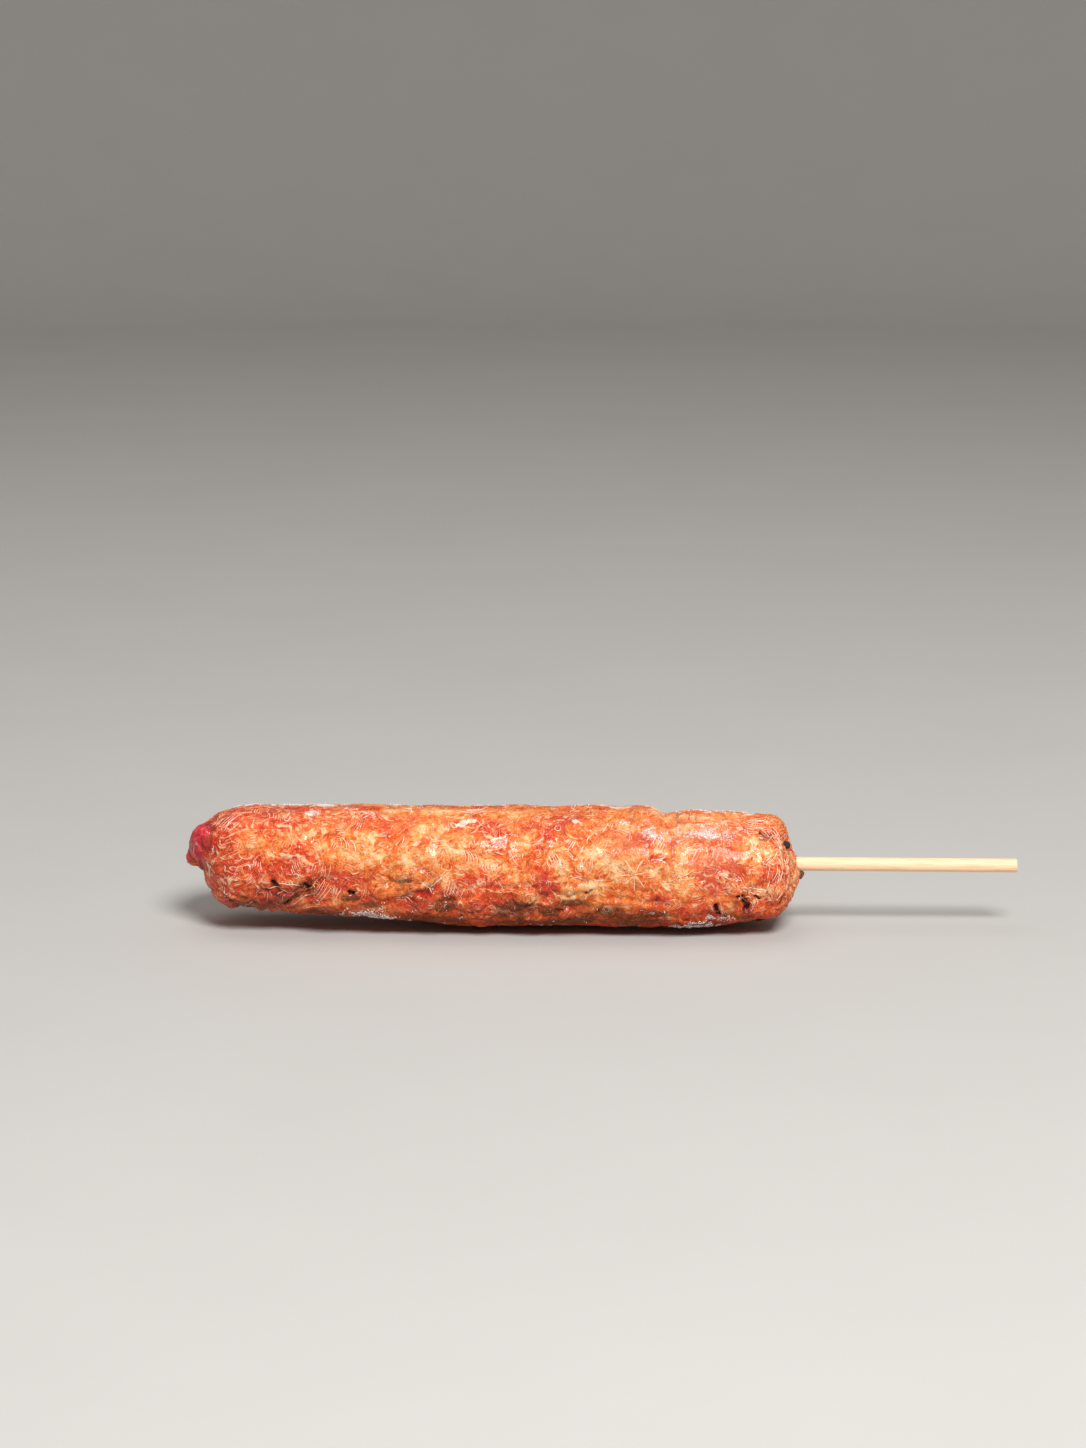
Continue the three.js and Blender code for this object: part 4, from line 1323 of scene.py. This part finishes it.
class KOFTA_OT_studio(bpy.types.Operator):
    """Set up the pale floor, the soft lights and the camera"""

    bl_idname = "kofta.studio"
    bl_label = "Studio"
    bl_options = {"REGISTER", "UNDO"}

    def execute(self, context):
        looks = context.scene.kofta_studio
        low, high = Vector(CAD_BOX[0]), Vector(CAD_BOX[1])
        middle = (low + high) / 2
        self.make_floor(looks, low.z)
        area_light("key", middle, (0.25, -0.85, 0.95), 0.5, looks.key_power)
        area_light("fill", middle, (-0.2, 0.25, 1.3), 1.0, looks.fill_power)
        world = bpy.data.worlds.new("studio_air")
        world.use_nodes = True
        world.node_tree.nodes["Background"].inputs["Color"].default_value = (1, 0.985, 0.965, 1)
        world.node_tree.nodes["Background"].inputs["Strength"].default_value = looks.ambient
        context.scene.world = world
        context.scene.view_settings.view_transform = "Standard"
        self.make_camera(looks, middle, high.x - low.x)
        return {"FINISHED"}

    def make_floor(self, looks, height):
        """A floor that curves up into a wall all round."""
        bpy.ops.object.select_all(action="DESELECT")
        bpy.ops.mesh.primitive_circle_add(
            vertices=96, radius=FLOOR_RADIUS, fill_type="NGON", location=(0, 0, height)
        )
        floor = bpy.context.object
        select_only(floor)
        bpy.ops.object.mode_set(mode="EDIT")
        bpy.ops.mesh.select_mode(type="EDGE")
        bpy.ops.mesh.select_all(action="SELECT")
        bpy.ops.mesh.region_to_loop()
        radius, rise = FLOOR_RADIUS, 0.0
        for i in range(1, BEND_STEPS + 1):
            angle = i * math.pi / 2 / BEND_STEPS
            wider = FLOOR_RADIUS + FLOOR_BEND * math.sin(angle)
            higher = FLOOR_BEND * (1 - math.cos(angle))
            bpy.ops.mesh.extrude_edges_move(TRANSFORM_OT_translate={"value": (0, 0, higher - rise)})
            bpy.ops.transform.resize(
                value=(wider / radius, wider / radius, 1), center_override=(0, 0, height)
            )
            radius, rise = wider, higher
        bpy.ops.mesh.extrude_edges_move(TRANSFORM_OT_translate={"value": (0, 0, WALL_HEIGHT)})
        bpy.ops.mesh.select_all(action="SELECT")
        bpy.ops.mesh.normals_make_consistent(inside=True)
        bpy.ops.object.mode_set(mode="OBJECT")
        bpy.ops.object.transform_apply(location=True)
        bpy.ops.object.shade_smooth()
        floor.name = "floor"
        floor.data.materials.append(floor_finish(looks))

    def make_camera(self, looks, middle, width):
        """The kofta lies low in the picture and a little to the right."""
        picture_width = width / KOFTA_SHARE
        picture_height = picture_width * PICTURE_SHAPE
        camera_data = bpy.data.cameras.new("camera")
        camera_data.lens = camera_data.sensor_width * looks.distance / picture_height
        camera = bpy.data.objects.new("camera", camera_data)
        bpy.context.scene.collection.objects.link(camera)
        back = Vector((0, -math.cos(looks.elevation), math.sin(looks.elevation)))
        up = Vector((0, math.sin(looks.elevation), math.cos(looks.elevation)))
        camera.location = middle + back * looks.distance
        aim = middle - Vector((AIM_LEFT * picture_width, 0, 0)) + up * AIM_UP * picture_height
        camera.rotation_euler = (aim - camera.location).to_track_quat("-Z", "Y").to_euler()
        bpy.context.scene.camera = camera


# ---- Panel and start ----


class KOFTA_PT_panel(bpy.types.Panel):
    bl_idname = "KOFTA_PT_panel"
    bl_label = "Kofta"
    bl_space_type = "VIEW_3D"
    bl_region_type = "UI"
    bl_category = "Kofta"

    def draw(self, context):
        for operator in OPERATORS:
            self.layout.operator(operator.bl_idname)


NOISE_SEED = 1  # without one, noise_vector gives another pattern in each run

LOOKS = {
    "kofta_meat": KoftaMeatLooks,
    "kofta_threads": KoftaThreadLooks,
    "kofta_frost": KoftaFrostLooks,
    "kofta_stick": KoftaStickLooks,
    "kofta_studio": KoftaStudioLooks,
}
OPERATORS = (
    KOFTA_OT_meat,
    KOFTA_OT_threads,
    KOFTA_OT_frost,
    KOFTA_OT_spices,
    KOFTA_OT_stick,
    KOFTA_OT_studio,
)


def register():
    noise.seed_set(NOISE_SEED)
    for kind in (*LOOKS.values(), *OPERATORS, KOFTA_PT_panel):
        bpy.utils.register_class(kind)
    for name, kind in LOOKS.items():
        setattr(bpy.types.Scene, name, PointerProperty(type=kind))


def unregister():
    for name in LOOKS:
        delattr(bpy.types.Scene, name)
    for kind in (KOFTA_PT_panel, *reversed(OPERATORS), *LOOKS.values()):
        bpy.utils.unregister_class(kind)


def main():
    register()
    bpy.ops.kofta.meat()
    bpy.ops.kofta.threads()
    bpy.ops.kofta.frost()
    bpy.ops.kofta.spices()
    bpy.ops.kofta.stick()
    bpy.ops.kofta.studio()


if __name__ == "__main__":
    main()
